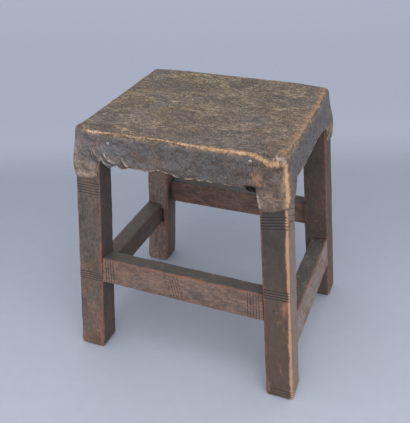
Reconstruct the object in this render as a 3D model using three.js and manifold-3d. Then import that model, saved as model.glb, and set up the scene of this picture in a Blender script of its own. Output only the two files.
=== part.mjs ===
// A hand-hewn wooden stool: four splayed legs, four stretchers at staggered heights, four hidden seat
// rails, draw-bore pegs, and a rawhide cover that was shrunk wet over the seat and the tops of the legs.
// Millimetres, +Z up, the origin on the floor under the middle of the stool, -Y is the front.

import * as THREE from "three";
import { mergeVertices } from "three/addons/utils/BufferGeometryUtils.js";
import Module from "manifold-3d";

const wasm = await Module();
wasm.setup();

// Overall sizes
const seatHeight = 360; // floor to the top of the hide over a front leg
const rearRise = 4.7; // how much higher the seat lies over the rear legs
const legTopsWidth = 277; // over the legs' outer faces, at the seat
const legTopsDepth = 234;
const feetWidth = 338; // over the legs' outer faces, at the floor
const feetDepth = 284.8;

// Legs
const legWidth = 35; // along X, at the seat
const legDepth = 34; // along Y, at the seat
const legFootWidth = 38.5; // the same at the floor, as a leg thickens downwards
const legFootDepth = 38;
const footWear = 2; // how far the worn arris of a foot reaches in
const footWearRise = 3; // and how far it climbs
const sleeveDrop = 70; // how far the hide reaches down a leg at the leg's corner, below the seat
const legs = [
  // head, foot: how far outside the plan above each end stands, along X and Y, as set by eye
  // sleeve: how much further down the hide reaches at the corner, and on each millimetre away from it
  { name: "leg_front_left", sideX: -1, sideY: -1, head: [5, 1], foot: [-1.1, -3.9], sleeve: [0, 0] },
  { name: "leg_front_right", sideX: 1, sideY: -1, head: [-1.8, -1.6], foot: [1.2, 0.8], sleeve: [0, 0.2] },
  { name: "leg_rear_right", sideX: 1, sideY: 1, head: [0, 0.7], foot: [-0.5, -1.9], sleeve: [4, 0] },
  { name: "leg_rear_left", sideX: -1, sideY: 1, head: [-1.4, 0], foot: [1.5, 0], sleeve: [1, 0.1] },
];
const [frontLeft, frontRight, rearRight, rearLeft] = legs;

// Rawhide cover
const hideThickness = 3;
const hideCornerRadius = 9; // round a leg's outer arris, measured outside
const hideEdgeRadius = 8; // from the seat over to the flaps
const flapDropFront = 47; // the lower edge of the front and rear flaps, below the seat
const flapDropSide = 44; // the same on the two sides
const sleeveWidth = 37; // how far the hide on a leg reaches from the corner
const sleeveSlantSide = -0.1; // the slant of its edge on the two sides, where it rises from the corner
const seatDish = 8; // how far the middle of the seat sags
const edgeSag = 3.5; // how far the middle of the front and side edges sags
const rearEdgeSag = 0.7; // and that of the rear edge
const flapRecess = 1.2; // how far a flap lies behind the hide on the legs
const edgeRipple = 1.6; // the waviness of the torn lower edge of a flap
const sleeveRipple = 1; // and of a sleeve
const longRipple = 11; // the two lengths of the waves in it, for each radian
const shortRipple = 4.7;

// Rails and stretchers
const seatRailHeight = 33;
const seatRailThickness = 22;
const seatRailArris = 1;
const seatRailSlack = 0.6; // between the top of a seat rail and the legs' tops
const arrisRadius = 2; // the rubbed edges of rails and stretchers
const frontStretcherTop = 161; // the upper edge, half way between the legs
const rearStretcherTop = 169;
const leftStretcherTop = 126.5;
const rightStretcherTop = 116.5;
const frontStretcherHeight = 40;
const rearStretcherHeight = 40;
const leftStretcherHeight = 39.5;
const rightStretcherHeight = 50;
const stretcherThickness = 24.5;
const rearStretcherThickness = 20;
const stretcherSetback = 2; // behind the legs' outer faces
const sideStretcherSetback = 1.2;
const stretchers = [
  // tilt: how much higher the upper edge lies at leg A than at leg B. endCuts: the knife cuts at each end
  {
    name: "stretcher_front",
    legA: frontLeft,
    legB: frontRight,
    top: frontStretcherTop,
    tilt: 1,
    height: frontStretcherHeight,
    thickness: stretcherThickness,
    setback: stretcherSetback,
    endCuts: 4,
  },
  {
    name: "stretcher_rear",
    legA: rearRight,
    legB: rearLeft,
    top: rearStretcherTop,
    tilt: 2,
    height: rearStretcherHeight,
    thickness: rearStretcherThickness,
    setback: stretcherSetback,
    endCuts: 0,
  },
  {
    name: "stretcher_left",
    legA: rearLeft,
    legB: frontLeft,
    top: leftStretcherTop,
    tilt: -1,
    height: leftStretcherHeight,
    thickness: stretcherThickness,
    setback: sideStretcherSetback,
    endCuts: 3,
  },
  {
    name: "stretcher_right",
    legA: frontRight,
    legB: rearRight,
    top: rightStretcherTop,
    tilt: 0,
    height: rightStretcherHeight,
    thickness: stretcherThickness,
    setback: sideStretcherSetback,
    endCuts: 3,
  },
];
const tenonThickness = 12;
const tenonShoulder = 4; // above and below a stretcher's tenon
const tenonReach = 24; // into a leg, from its inner face
const tenonArris = 0.5;
const seatTenonHeight = 13; // a front or rear rail's tenon lies above a side rail's
const seatTenonReach = 20;
const tenonWeb = 2; // the wood left between the two

// Pegs and tacks
const pegDiameter = 6;
const pegProud = 0.8; // how far a peg stands out of a leg's outer face
const pegSides = 8;
const pegChamfer = 0.6;
const tackHeadDiameter = 5;
const tackHeadRise = 1.4;
const tackShankDiameter = 2;
const tackShankLength = 13;
const leftTackDrop = 17; // below the seat
const rightTackDrop = 12;
const tackSites = [
  // along: the place on the front flap, from its left end to its right
  { name: "tack_front_left", along: 0.07, drop: leftTackDrop },
  { name: "tack_front_right", along: 0.97, drop: rightTackDrop },
];

// Clearances
const fit = 0.35; // between a tenon or a peg and its hole
const seatGap = 0.5; // between the legs' outer faces and the hide
const underHide = 0.3; // between the hide and the trimmed tops of legs and seat rails
const shoulderGap = 0.35; // between a rail's shoulder and a leg

// Knife-cut lines
const cutWidth = 2;
const cutDepth = 1.1;
const cutPitch = 4;
const leftUpperCuts = 265.5; // the lowest cut of each group, above the floor
const leftMiddleCuts = 124;
const rightUpperCuts = 263.5;
const rightMiddleCuts = 161.5;
const rightFootCuts = 6;
const rearLeftCuts = 131;
const rearRightCuts = 122;
const zigzagBelowCuts = 3; // how far a zigzag starts below the upper cuts
const middleCutSlant = THREE.MathUtils.degToRad(14);

// Colours
const wood = new THREE.MeshStandardMaterial({ color: 0x5a4a40, roughness: 0.7, metalness: 0 });
const seatRailWood = new THREE.MeshStandardMaterial({ color: 0x6b5240, roughness: 0.85, metalness: 0 });
const pegWood = new THREE.MeshStandardMaterial({ color: 0x4a3a30, roughness: 0.8, metalness: 0 });
const rawhide = new THREE.MeshStandardMaterial({ color: 0x6e6353, roughness: 0.6, metalness: 0 });
const iron = new THREE.MeshStandardMaterial({ color: 0x8a8782, roughness: 0.5, metalness: 1 });

// Solids

/** A closed three.js geometry as a solid that can be joined and cut. */
function solid(geometry) {
  const bare = geometry.index ? geometry.toNonIndexed() : geometry.clone();
  bare.deleteAttribute("normal");
  bare.deleteAttribute("uv");
  const merged = mergeVertices(bare, 1e-4);
  const corners = merged.index.array;
  const triVerts = [];
  for (let i = 0; i < corners.length; i += 3) {
    const [a, b, c] = corners.slice(i, i + 3);
    if (a !== b && b !== c && c !== a) triVerts.push(a, b, c);
  }
  return new wasm.Manifold(
    new wasm.Mesh({
      numProp: 3,
      vertProperties: merged.attributes.position.array,
      triVerts: new Uint32Array(triVerts),
    }),
  );
}

/** A solid as a named three.js mesh. */
function meshOf(name, body, material) {
  const { vertProperties, triVerts } = body.getMesh();
  const geometry = new THREE.BufferGeometry();
  geometry.setAttribute("position", new THREE.BufferAttribute(vertProperties, 3));
  geometry.setIndex(new THREE.BufferAttribute(triVerts, 1));
  geometry.computeVertexNormals();
  const mesh = new THREE.Mesh(geometry, material);
  mesh.name = name;
  return mesh;
}

/** Subtracts every cutter from a body. */
function cut(body, cutters) {
  return cutters.reduce((left, cutter) => left.subtract(cutter), body);
}

/** A rectangle with round corners, centred on the origin. */
function roundedRectangle(width, height, radius) {
  const x = width / 2;
  const y = height / 2;
  const shape = new THREE.Shape();
  shape.moveTo(x, y - radius);
  shape.absarc(x - radius, y - radius, radius, 0, Math.PI / 2);
  shape.absarc(-x + radius, y - radius, radius, Math.PI / 2, Math.PI);
  shape.absarc(-x + radius, -y + radius, radius, Math.PI, 1.5 * Math.PI);
  shape.absarc(x - radius, -y + radius, radius, 1.5 * Math.PI, 2 * Math.PI);
  return shape;
}

const smooth = (from, to, value) => THREE.MathUtils.smoothstep(value, from, to);
const mix = THREE.MathUtils.lerp;

// The lean of the legs

const legArris = hideCornerRadius - hideThickness - seatGap;

/** How far a leg's outer faces stand from the middle of the stool at a height. */
function legReach(height, leg) {
  const rise = height / seatHeight;
  return {
    x: mix(feetWidth / 2 + leg.foot[0], legTopsWidth / 2 + leg.head[0], rise),
    y: mix(feetDepth / 2 + leg.foot[1], legTopsDepth / 2 + leg.head[1], rise),
  };
}

/** How far a leg's outer faces go outwards for each millimetre down. */
function legLean(leg) {
  const foot = legReach(0, leg);
  const head = legReach(seatHeight, leg);
  return { x: (foot.x - head.x) / seatHeight, y: (foot.y - head.y) / seatHeight };
}

/** The section of a leg at a height. */
function legSize(height) {
  const rise = height / seatHeight;
  return { x: mix(legFootWidth, legWidth, rise), y: mix(legFootDepth, legDepth, rise) };
}

/** The middle of a leg's section at a height. */
function legCentre(leg, height) {
  const reach = legReach(height, leg);
  const size = legSize(height);
  const x = leg.sideX * (reach.x - size.x / 2);
  const y = leg.sideY * (reach.y - size.y / 2);
  return new THREE.Vector3(x, y, height);
}

/** A leg's bare stick, leaned and tapered while its foot stays level. grow thickens it all round. */
function legStick(leg, grow = 0) {
  const shape = roundedRectangle(legWidth + 2 * grow, legDepth + 2 * grow, legArris + grow);
  const geometry = new THREE.ExtrudeGeometry(shape, {
    depth: seatHeight + rearRise - 2 * footWearRise,
    curveSegments: 2,
    bevelThickness: footWearRise,
    bevelSize: footWear,
    bevelOffset: -footWear,
    bevelSegments: 2,
  });
  geometry.translate(0, 0, footWearRise);
  const corners = geometry.attributes.position;
  for (let i = 0; i < corners.count; i++) {
    const height = corners.getZ(i);
    const size = legSize(height);
    const middle = legCentre(leg, height);
    const x = middle.x + (corners.getX(i) * size.x) / legWidth;
    const y = middle.y + (corners.getY(i) * size.y) / legDepth;
    corners.setXYZ(i, x, y, height);
  }
  return solid(geometry);
}

// Rawhide

const columnsOnSleeve = 4;
const spansOnFlap = 8;
const spansOnCorner = 3;
const seatRings = [0.22, 0.46, 0.7, 0.88, 1];
const edgeSteps = 3;
const flapRows = [0.25, 0.5, 0.75, 0.92, 1];
const notchWidth = 6; // across the step between the hide on a leg and the flap beside it
const notchRise = 3; // how much higher a flap's lower edge is beside the notch
const hideSides = [
  // in the order of a walk round the stool against the clock, seen from above
  { alongX: true, sign: -1, legA: frontLeft, legB: frontRight, flapDrop: flapDropFront, phase: 0.4 },
  { alongX: false, sign: 1, legA: frontRight, legB: rearRight, flapDrop: flapDropSide, phase: 1.9 },
  { alongX: true, sign: 1, legA: rearRight, legB: rearLeft, flapDrop: flapDropFront, phase: 3.3 },
  { alongX: false, sign: -1, legA: rearLeft, legB: frontLeft, flapDrop: flapDropSide, phase: 5.2 },
];

/** The columns of the hide's skin round the stool: on a sleeve, a flap (along) or a corner (turn). */
function hideColumns() {
  const flapStart = sleeveWidth + notchWidth / 2;
  const sleeveEnd = sleeveWidth - notchWidth / 2;
  const steps = (count) => Array.from({ length: count }, (_, i) => i);
  return hideSides.flatMap((side) => {
    const { legA, legB } = side;
    const inward = steps(columnsOnSleeve).map((i) => {
      return mix(hideCornerRadius, sleeveEnd, i / (columnsOnSleeve - 1));
    });
    return [
      ...inward.map((fromCorner) => ({ side, leg: legA, fromCorner })),
      ...steps(spansOnFlap + 1).map((i) => ({ side, fromCorner: flapStart, along: i / spansOnFlap })),
      ...inward.reverse().map((fromCorner) => ({ side, leg: legB, fromCorner })),
      ...steps(spansOnCorner - 1).map((i) => ({ side, leg: legB, turn: (i + 1) / spansOnCorner })),
    ];
  });
}

/** The small irregular wave of a torn or rippled edge, from -1 to 1, at a place along a side. */
function wave(place, phase) {
  return 0.55 * Math.sin(place / longRipple + phase) + 0.45 * Math.sin(place / shortRipple + 2.3 * phase);
}

/** The height of the sagging seat over a point, on a skin inset into the hide. */
function seatSurface(x, y, inset) {
  const u = Math.min(1, Math.abs(x) / (legTopsWidth / 2 + hideThickness));
  const v = Math.min(1, Math.abs(y) / (legTopsDepth / 2 + hideThickness));
  const acrossSag = (y > 0 ? rearEdgeSag : edgeSag) * (1 - u ** 4) * v * v;
  const sag = acrossSag + edgeSag * (1 - v ** 4) * u * u + seatDish * (1 - u * u) * (1 - v * v);
  return seatHeight + rearRise * (y / legTopsDepth + 0.5) - inset - sag;
}

/** A column's place on the side of the hide at a height: its point in plan and its outward direction. */
function sidePoint(column, height, inset) {
  const { side, leg, fromCorner = 0, along, turn } = column;
  const pad = seatGap + hideThickness - inset;
  const reachOf = (end) => {
    const reach = legReach(height, end);
    const [half, out] = side.alongX ? [reach.x, reach.y] : [reach.y, reach.x];
    return { half: half + pad, out: out + pad };
  };
  const a = reachOf(side.legA);
  const b = reachOf(side.legB);
  const radius = hideCornerRadius - inset;
  const bend = ((turn ?? 0) * Math.PI) / 2;
  const inFromEnd = fromCorner - inset;
  let place;
  let outward;
  if (turn !== undefined) {
    place = b.half - radius + radius * Math.sin(bend);
    outward = b.out - radius + radius * Math.cos(bend);
  } else if (along === undefined) {
    place = leg === side.legA ? inFromEnd - a.half : b.half - inFromEnd;
    outward = leg === side.legA ? a.out : b.out;
  } else {
    place = mix(inFromEnd - a.half, b.half - inFromEnd, along);
    outward = mix(a.out, b.out, along) - flapRecess;
  }
  // the walk runs to +X on the front and to +Y on the right
  const walk = side.alongX ? -side.sign : side.sign;
  const point = [place * walk, outward * side.sign];
  const normal = [Math.sin(bend) * walk, Math.cos(bend) * side.sign];
  if (!side.alongX) {
    point.reverse();
    normal.reverse();
  }
  return { x: point[0], y: point[1], nx: normal[0], ny: normal[1], place };
}

/** How far below the seat a column's lower edge lies. */
function lowerEdgeDrop({ side, leg, fromCorner = 0, along }) {
  if (along === undefined) {
    const [longer, slantFront] = leg.sleeve;
    const slant = side.alongX ? slantFront : sleeveSlantSide;
    const ripple = sleeveRipple * wave(fromCorner, side.phase + leg.sideX);
    return sleeveDrop + longer + slant * fromCorner + ripple;
  }
  const place = (along - 0.5) * (side.alongX ? legTopsWidth : legTopsDepth);
  const notch = notchRise * (1 - smooth(0, 0.1, 0.5 - Math.abs(along - 0.5)));
  return side.flapDrop - notch + edgeRipple * wave(place, side.phase);
}

/** The skin of the hide as rings of points from the middle of the seat out and down, with an inset. */
function hideSkin(columns, inset) {
  const edgeRadius = hideEdgeRadius - inset;
  const rings = [];
  const edges = columns.map((column) => {
    const p = sidePoint(column, seatHeight - hideEdgeRadius, inset);
    const inner = { x: p.x - edgeRadius * p.nx, y: p.y - edgeRadius * p.ny };
    return { ...p, inner, top: seatSurface(inner.x, inner.y, inset) };
  });
  for (const share of seatRings) {
    rings.push(
      edges.map(({ inner }) => {
        const x = inner.x * share;
        const y = inner.y * share;
        return [x, y, seatSurface(x, y, inset)];
      }),
    );
  }
  for (let step = 1; step <= edgeSteps; step++) {
    const angle = ((step / edgeSteps) * Math.PI) / 2;
    rings.push(
      edges.map(({ inner, nx, ny, top }) => {
        const out = edgeRadius * Math.sin(angle);
        return [inner.x + out * nx, inner.y + out * ny, top - edgeRadius * (1 - Math.cos(angle))];
      }),
    );
  }
  for (const share of flapRows) {
    rings.push(
      columns.map((column, i) => {
        const high = edges[i].top - edgeRadius;
        const height = mix(high, seatHeight - lowerEdgeDrop(column), share);
        const p = sidePoint(column, height, inset);
        const curl = column.along === undefined ? 0 : 1 + wave(p.place, 2 * column.side.phase);
        const flare = edgeRipple * curl * share ** 3;
        return [p.x + flare * p.nx, p.y + flare * p.ny, height];
      }),
    );
  }
  return { centre: [0, 0, seatSurface(0, 0, inset)], rings };
}

/** A closed shell between two skins of the hide. */
function hideShell(outerInset, innerInset) {
  const columns = hideColumns();
  const outer = hideSkin(columns, outerInset);
  const inner = hideSkin(columns, innerInset);
  const count = columns.length;
  const points = [];
  const faces = [];
  const addSkin = ({ centre, rings }, flip) => {
    const first = points.length;
    points.push(centre, ...rings.flat());
    const at = (ring, column) => first + 1 + ring * count + (column % count);
    const face = (a, b, c) => faces.push(...(flip ? [a, c, b] : [a, b, c]));
    for (let i = 0; i < count; i++) {
      face(first, at(0, i), at(0, i + 1));
      for (let ring = 0; ring + 1 < rings.length; ring++) {
        face(at(ring, i), at(ring + 1, i), at(ring + 1, i + 1));
        face(at(ring, i), at(ring + 1, i + 1), at(ring, i + 1));
      }
    }
    return (column) => at(rings.length - 1, column);
  };
  const outerRim = addSkin(outer, false);
  const innerRim = addSkin(inner, true);
  for (let i = 0; i < count; i++) {
    faces.push(outerRim(i), innerRim(i), innerRim(i + 1));
    faces.push(outerRim(i), innerRim(i + 1), outerRim(i + 1));
  }
  const geometry = new THREE.BufferGeometry();
  geometry.setAttribute("position", new THREE.Float32BufferAttribute(points.flat(), 3));
  geometry.setIndex(faces);
  return solid(geometry);
}

// Rails, stretchers and their joints

/** The frame of a rail: its +X runs from leg A to leg B, its +Y into the stool, its +Z up the lean. */
function railFrame(rail) {
  const end = (leg, top) => {
    const middle = top - rail.height / 2;
    const reach = legReach(middle, leg);
    const inFromFace = rail.setback + rail.thickness / 2;
    const centre = legCentre(leg, middle);
    return rail.alongX
      ? new THREE.Vector3(centre.x, leg.sideY * (reach.y - inFromFace), middle)
      : new THREE.Vector3(leg.sideX * (reach.x - inFromFace), centre.y, middle);
  };
  const a = end(rail.legA, rail.top + rail.tilt / 2);
  const b = end(rail.legB, rail.top - rail.tilt / 2);
  const along = b.clone().sub(a);
  const length = along.length();
  along.normalize();
  const vertical = new THREE.Vector3(0, 0, 1);
  const level = along.clone().cross(vertical).normalize();
  const leans = [rail.legA, rail.legB].map((leg) => legLean(leg)[rail.alongX ? "y" : "x"]);
  const up = vertical.addScaledVector(level, -mix(leans[0], leans[1], 0.5));
  up.addScaledVector(along, -up.dot(along)).normalize();
  const out = along.clone().cross(up);
  const matrix = new THREE.Matrix4().makeBasis(along, out.clone().negate(), up).setPosition(a);
  return { a, b, along, out, up, length, matrix };
}

/** A bar with rubbed arrises along the rail's own +X. */
function bar(from, to, width, height, radius, offsetZ, matrix) {
  const geometry = new THREE.ExtrudeGeometry(roundedRectangle(width, height, radius), {
    depth: to - from,
    curveSegments: 2,
    bevelEnabled: false,
  });
  geometry.applyMatrix4(new THREE.Matrix4().makeBasis(
    new THREE.Vector3(0, 1, 0),
    new THREE.Vector3(0, 0, 1),
    new THREE.Vector3(1, 0, 0),
  ));
  geometry.translate(from, 0, offsetZ);
  return solid(geometry.applyMatrix4(matrix));
}

/** How long the way through a leg is where a rail meets it, along the rail. */
function legAlong(rail) {
  const size = legSize(rail.top - rail.height / 2);
  return rail.alongX ? size.x : size.y;
}

/** The two tenons of a rail as one pair of bars, each from inside the rail to the end of its mortise. */
function tenons(rail, frame, grow) {
  const halfAcross = legAlong(rail) / 2;
  const tip = halfAcross - rail.tenon.reach; // from the leg's middle, negative beyond it
  const root = halfAcross + arrisRadius + rail.tenon.height / 4; // well past the leaning face of the leg
  return [
    [tip, root],
    [frame.length - root, frame.length - tip],
  ].map(([from, to], end) => {
    const outward = end === 0 ? [from - grow, to] : [from, to + grow];
    return bar(
      ...outward,
      tenonThickness + 2 * grow,
      rail.tenon.height + 2 * grow,
      tenonArris + grow,
      rail.tenon.offset,
      frame.matrix,
    );
  });
}

/** A short round rod along a direction, with a chamfer at each end. */
function rod(centre, direction, length, radius, chamfer, sides) {
  const profile = [
    [0, 0],
    [radius - chamfer, 0],
    [radius, chamfer],
    [radius, length - chamfer],
    [radius - chamfer, length],
    [0, length],
  ].map(([r, y]) => new THREE.Vector2(r, y));
  const geometry = new THREE.LatheGeometry(profile, sides);
  geometry.translate(0, -length / 2, 0);
  const upright = new THREE.Vector3(0, 1, 0);
  geometry.applyQuaternion(new THREE.Quaternion().setFromUnitVectors(upright, direction));
  geometry.translate(centre.x, centre.y, centre.z);
  return solid(geometry);
}

/** The two peg lines of a stretcher: each crosses a tenon in the middle of its leg. */
function pegLines(rail, frame) {
  return [rail.legA, rail.legB].map((leg, end) => {
    const middle = end === 0 ? frame.a : frame.b;
    const reach = legReach(middle.z, leg);
    const size = legSize(middle.z);
    const acrossLeg = rail.alongX ? size.y : size.x;
    const face = rail.alongX ? reach.y : reach.x;
    const outward = new THREE.Vector3(rail.alongX ? 0 : leg.sideX, rail.alongX ? leg.sideY : 0, 0);
    const length = acrossLeg + pegProud - fit;
    const fromMiddle = face + pegProud - length / 2;
    const centre = middle.clone();
    if (rail.alongX) centre.y = leg.sideY * fromMiddle;
    else centre.x = leg.sideX * fromMiddle;
    return { centre, outward, length };
  });
}

// Knife-cut lines

/** A V-shaped cutter through a point of a face, whose outward normal is given, along a rough heading. */
function knifeCut(middle, heading, face, length) {
  const line = heading.clone().addScaledVector(face, -heading.dot(face)).normalize();
  const shape = new THREE.Shape([
    new THREE.Vector2(-cutWidth / 2, cutDepth / 2),
    new THREE.Vector2(0, -cutDepth),
    new THREE.Vector2(cutWidth / 2, cutDepth / 2),
  ]);
  const geometry = new THREE.ExtrudeGeometry(shape, { depth: length, bevelEnabled: false });
  geometry.translate(0, 0, -length / 2);
  const across = face.clone().cross(line).normalize();
  geometry.applyMatrix4(new THREE.Matrix4().makeBasis(across, face, line).setPosition(middle));
  return solid(geometry);
}

/** Cuts across the front of a leg, from a lowest height upwards. climb is their slope. */
function crossCuts(leg, lowest, count, climb = 0) {
  return Array.from({ length: count }, (_, i) => {
    const height = lowest + i * cutPitch;
    const reach = legReach(height, leg);
    const size = legSize(height);
    const y = leg.sideY < 0 ? -reach.y : reach.y - size.y;
    const middle = new THREE.Vector3(legCentre(leg, height).x, y, height);
    const face = new THREE.Vector3(0, -1, -leg.sideY * legLean(leg).y).normalize();
    return knifeCut(middle, new THREE.Vector3(1, 0, climb), face, size.x + cutWidth);
  });
}

/** A zigzag of short cuts on the outer side of a leg, from a lowest height upwards. */
function zigzagCuts(leg, lowest, count) {
  const climb = 2 * cutPitch;
  const length = legDepth - 2 * legArris;
  return Array.from({ length: count }, (_, i) => {
    const height = lowest + climb * (i + 0.5);
    const x = leg.sideX * legReach(height, leg).x;
    const middle = new THREE.Vector3(x, legCentre(leg, height).y, height);
    const face = new THREE.Vector3(leg.sideX, 0, legLean(leg).x).normalize();
    return knifeCut(middle, new THREE.Vector3(0, length, i % 2 ? -climb : climb), face, length);
  });
}

/** Upright cuts at both ends of a stretcher's outer face. */
function endCuts(rail, frame) {
  const clearOfLeg = legAlong(rail) / 2 + cutPitch;
  const places = [];
  for (let i = 0; i < rail.endCuts; i++) {
    places.push(clearOfLeg + i * cutPitch, frame.length - clearOfLeg - i * cutPitch);
  }
  return places.map((place) => {
    const middle = frame.a.clone().addScaledVector(frame.along, place);
    middle.addScaledVector(frame.out, rail.thickness / 2);
    return knifeCut(middle, frame.up, frame.out, rail.height + cutWidth);
  });
}

/** Slanted cuts in the middle of a stretcher's outer face. */
function middleCuts(rail, frame, count) {
  const line = frame.up.clone().addScaledVector(frame.along, -Math.tan(middleCutSlant));
  return Array.from({ length: count }, (_, i) => {
    const place = frame.length / 2 - cutPitch + (i - (count - 1) / 2) * cutPitch;
    const middle = frame.a.clone().addScaledVector(frame.along, place);
    middle.addScaledVector(frame.out, rail.thickness / 2);
    return knifeCut(middle, line, frame.out, 0.8 * rail.height);
  });
}

// Assembly

const hide = hideShell(0, hideThickness);
const aboveWood = hideShell(-seatDish - 2 * edgeSag, hideThickness + underHide);

const allStretchers = stretchers.map((rail) => ({
  ...rail,
  alongX: rail.legA.sideY === rail.legB.sideY,
  pegged: true,
  tenon: { height: rail.height - 2 * tenonShoulder, reach: tenonReach, offset: 0 },
}));

const seatRailTop = seatHeight - hideThickness - edgeSag - seatRailSlack;
const rearRailTop = seatRailTop + rearRise + edgeSag - rearEdgeSag;
const sideRailTop = seatRailTop + rearRise / 2;
const seatRails = [
  { name: "seat_rail_front", legA: frontLeft, legB: frontRight, top: seatRailTop, tilt: 0 },
  { name: "seat_rail_right", legA: frontRight, legB: rearRight, top: sideRailTop, tilt: -rearRise },
  { name: "seat_rail_rear", legA: rearRight, legB: rearLeft, top: rearRailTop, tilt: 0 },
  { name: "seat_rail_left", legA: rearLeft, legB: frontLeft, top: sideRailTop, tilt: rearRise },
].map((rail) => {
  const alongX = rail.legA.sideY === rail.legB.sideY;
  return {
    ...rail,
    alongX,
    pegged: false,
    height: seatRailHeight,
    thickness: seatRailThickness,
    setback: flapRecess,
    tenon: {
      height: seatTenonHeight,
      reach: seatTenonReach,
      offset: (alongX ? 0.5 : -0.5) * (seatTenonHeight + tenonWeb),
    },
  };
});

const rails = [...allStretchers, ...seatRails].map((rail) => ({ ...rail, frame: railFrame(rail) }));
const frontStretcher = rails.find((rail) => rail.name === "stretcher_front");

/** A domed tack driven square through the front flap into the rail. grow opens its shank into a hole. */
function tack({ along, drop }, grow) {
  const head = tackHeadDiameter / 2;
  const shank = tackShankDiameter / 2 + grow;
  const dome = grow ? [] : [[0.75 * head, -fit - 0.7 * tackHeadRise], [head, -fit]];
  const profile = [
    [0, -fit - tackHeadRise],
    ...dome,
    [shank, -fit],
    [shank, tackShankLength - tackShankDiameter],
    [0, tackShankLength + grow],
  ];
  const geometry = new THREE.LatheGeometry(profile.map(([r, y]) => new THREE.Vector2(r, y)), pegSides);
  const lean = mix(legLean(frontLeft).y, legLean(frontRight).y, along);
  const inward = new THREE.Vector3(0, 1, -lean).normalize();
  const flap = { side: hideSides[0], fromCorner: sleeveWidth + notchWidth / 2, along };
  const site = sidePoint(flap, seatHeight - drop, 0);
  geometry.applyQuaternion(new THREE.Quaternion().setFromUnitVectors(new THREE.Vector3(0, 1, 0), inward));
  geometry.translate(site.x, site.y, seatHeight - drop);
  return solid(geometry);
}

const stool = new THREE.Group();
stool.name = "stool";

const pegHoles = [];
for (const rail of rails.filter(({ pegged }) => pegged)) {
  for (const [end, { centre, outward, length }] of pegLines(rail, rail.frame).entries()) {
    const peg = rod(centre, outward, length, pegDiameter / 2, pegChamfer, pegSides);
    pegHoles.push(rod(centre, outward, length + legWidth, pegDiameter / 2 + fit, 0, pegSides));
    const site = (end === 0 ? rail.legA : rail.legB).name.replace("leg_", "");
    stool.add(meshOf("peg_" + rail.name.replace("stretcher_", "") + "_at_" + site, peg, pegWood));
  }
}

const decoration = {
  leg_front_left: [
    ...crossCuts(frontLeft, leftUpperCuts, 5),
    ...crossCuts(frontLeft, leftMiddleCuts, 4),
    ...zigzagCuts(frontLeft, leftUpperCuts - zigzagBelowCuts, 2),
  ],
  leg_front_right: [
    ...crossCuts(frontRight, rightUpperCuts, 5, 0.15),
    ...crossCuts(frontRight, rightMiddleCuts, 4, 0.05),
    ...crossCuts(frontRight, rightFootCuts, 3),
    ...zigzagCuts(frontRight, rightUpperCuts - zigzagBelowCuts, 3),
  ],
  leg_rear_left: crossCuts(rearLeft, rearLeftCuts, 3),
  leg_rear_right: crossCuts(rearRight, rearRightCuts, 3),
};

for (const leg of legs) {
  const mortises = rails
    .filter((rail) => rail.legA === leg || rail.legB === leg)
    .map((rail) => tenons(rail, rail.frame, fit)[rail.legA === leg ? 0 : 1]);
  const body = cut(legStick(leg), [aboveWood, ...mortises, ...pegHoles, ...decoration[leg.name]]);
  stool.add(meshOf(leg.name, body, wood));
}

const tackHoles = tackSites.map((site) => tack(site, fit));
for (const rail of rails) {
  const { frame } = rail;
  const shoulders = [rail.legA, rail.legB].map((leg) => legStick(leg, shoulderGap));
  const radius = rail.pegged ? arrisRadius : seatRailArris;
  const blank = bar(0, frame.length, rail.thickness, rail.height, radius, 0, frame.matrix);
  const stem = cut(blank, shoulders);
  const shouldered = tenons(rail, frame, 0).reduce((joined, tenon) => joined.add(tenon), stem);
  const cuts = rail.pegged ? [...pegHoles, ...endCuts(rail, frame)] : [aboveWood, ...tackHoles];
  if (rail === frontStretcher) cuts.push(...middleCuts(rail, frame, 3));
  stool.add(meshOf(rail.name, cut(shouldered, cuts), rail.pegged ? wood : seatRailWood));
}

stool.add(meshOf("hide_cover", cut(hide, tackHoles), rawhide));
for (const site of tackSites) stool.add(meshOf(site.name, tack(site, 0), iron));

export default stool;
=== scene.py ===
"""The looks of a hand-hewn stool with a shrunk rawhide cover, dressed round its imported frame.

Lengths are in metres, in the frame's own axes: +Z up, -Y the front, the floor at Z = 0.
"""

import logging
import math
from dataclasses import dataclass, field
from enum import Enum, IntEnum
from functools import reduce

import bpy
import numpy as np
from mathutils import Matrix, Vector


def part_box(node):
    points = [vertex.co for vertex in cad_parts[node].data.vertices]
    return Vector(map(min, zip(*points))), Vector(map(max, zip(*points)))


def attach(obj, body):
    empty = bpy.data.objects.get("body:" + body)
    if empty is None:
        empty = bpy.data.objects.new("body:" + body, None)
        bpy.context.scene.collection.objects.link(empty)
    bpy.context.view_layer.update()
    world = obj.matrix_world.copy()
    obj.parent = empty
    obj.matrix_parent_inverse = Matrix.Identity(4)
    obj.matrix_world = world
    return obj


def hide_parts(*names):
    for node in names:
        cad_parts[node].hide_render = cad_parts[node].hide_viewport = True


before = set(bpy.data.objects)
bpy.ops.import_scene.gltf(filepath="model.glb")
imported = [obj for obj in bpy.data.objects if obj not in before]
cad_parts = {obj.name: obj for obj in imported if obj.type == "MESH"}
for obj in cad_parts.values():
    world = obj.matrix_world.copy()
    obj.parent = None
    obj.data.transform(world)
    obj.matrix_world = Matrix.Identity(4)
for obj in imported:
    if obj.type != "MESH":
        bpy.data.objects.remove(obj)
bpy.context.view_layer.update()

log = logging.getLogger("stool")
MM = 0.001
Array = np.ndarray
Pair = tuple[float, float]
Triple = tuple[float, float, float]
Colour = Triple
Socket = bpy.types.NodeSocket
Node = bpy.types.Node
Material = bpy.types.Material
Piece = bpy.types.Object


class Slot(Enum):
    """Names of material slots."""

    FRAME_WOOD = "frame_wood"
    HIDDEN_WOOD = "hidden_wood"
    PEG_WOOD = "peg_wood"
    RAWHIDE = "rawhide"
    IRON = "tack_iron"


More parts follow.
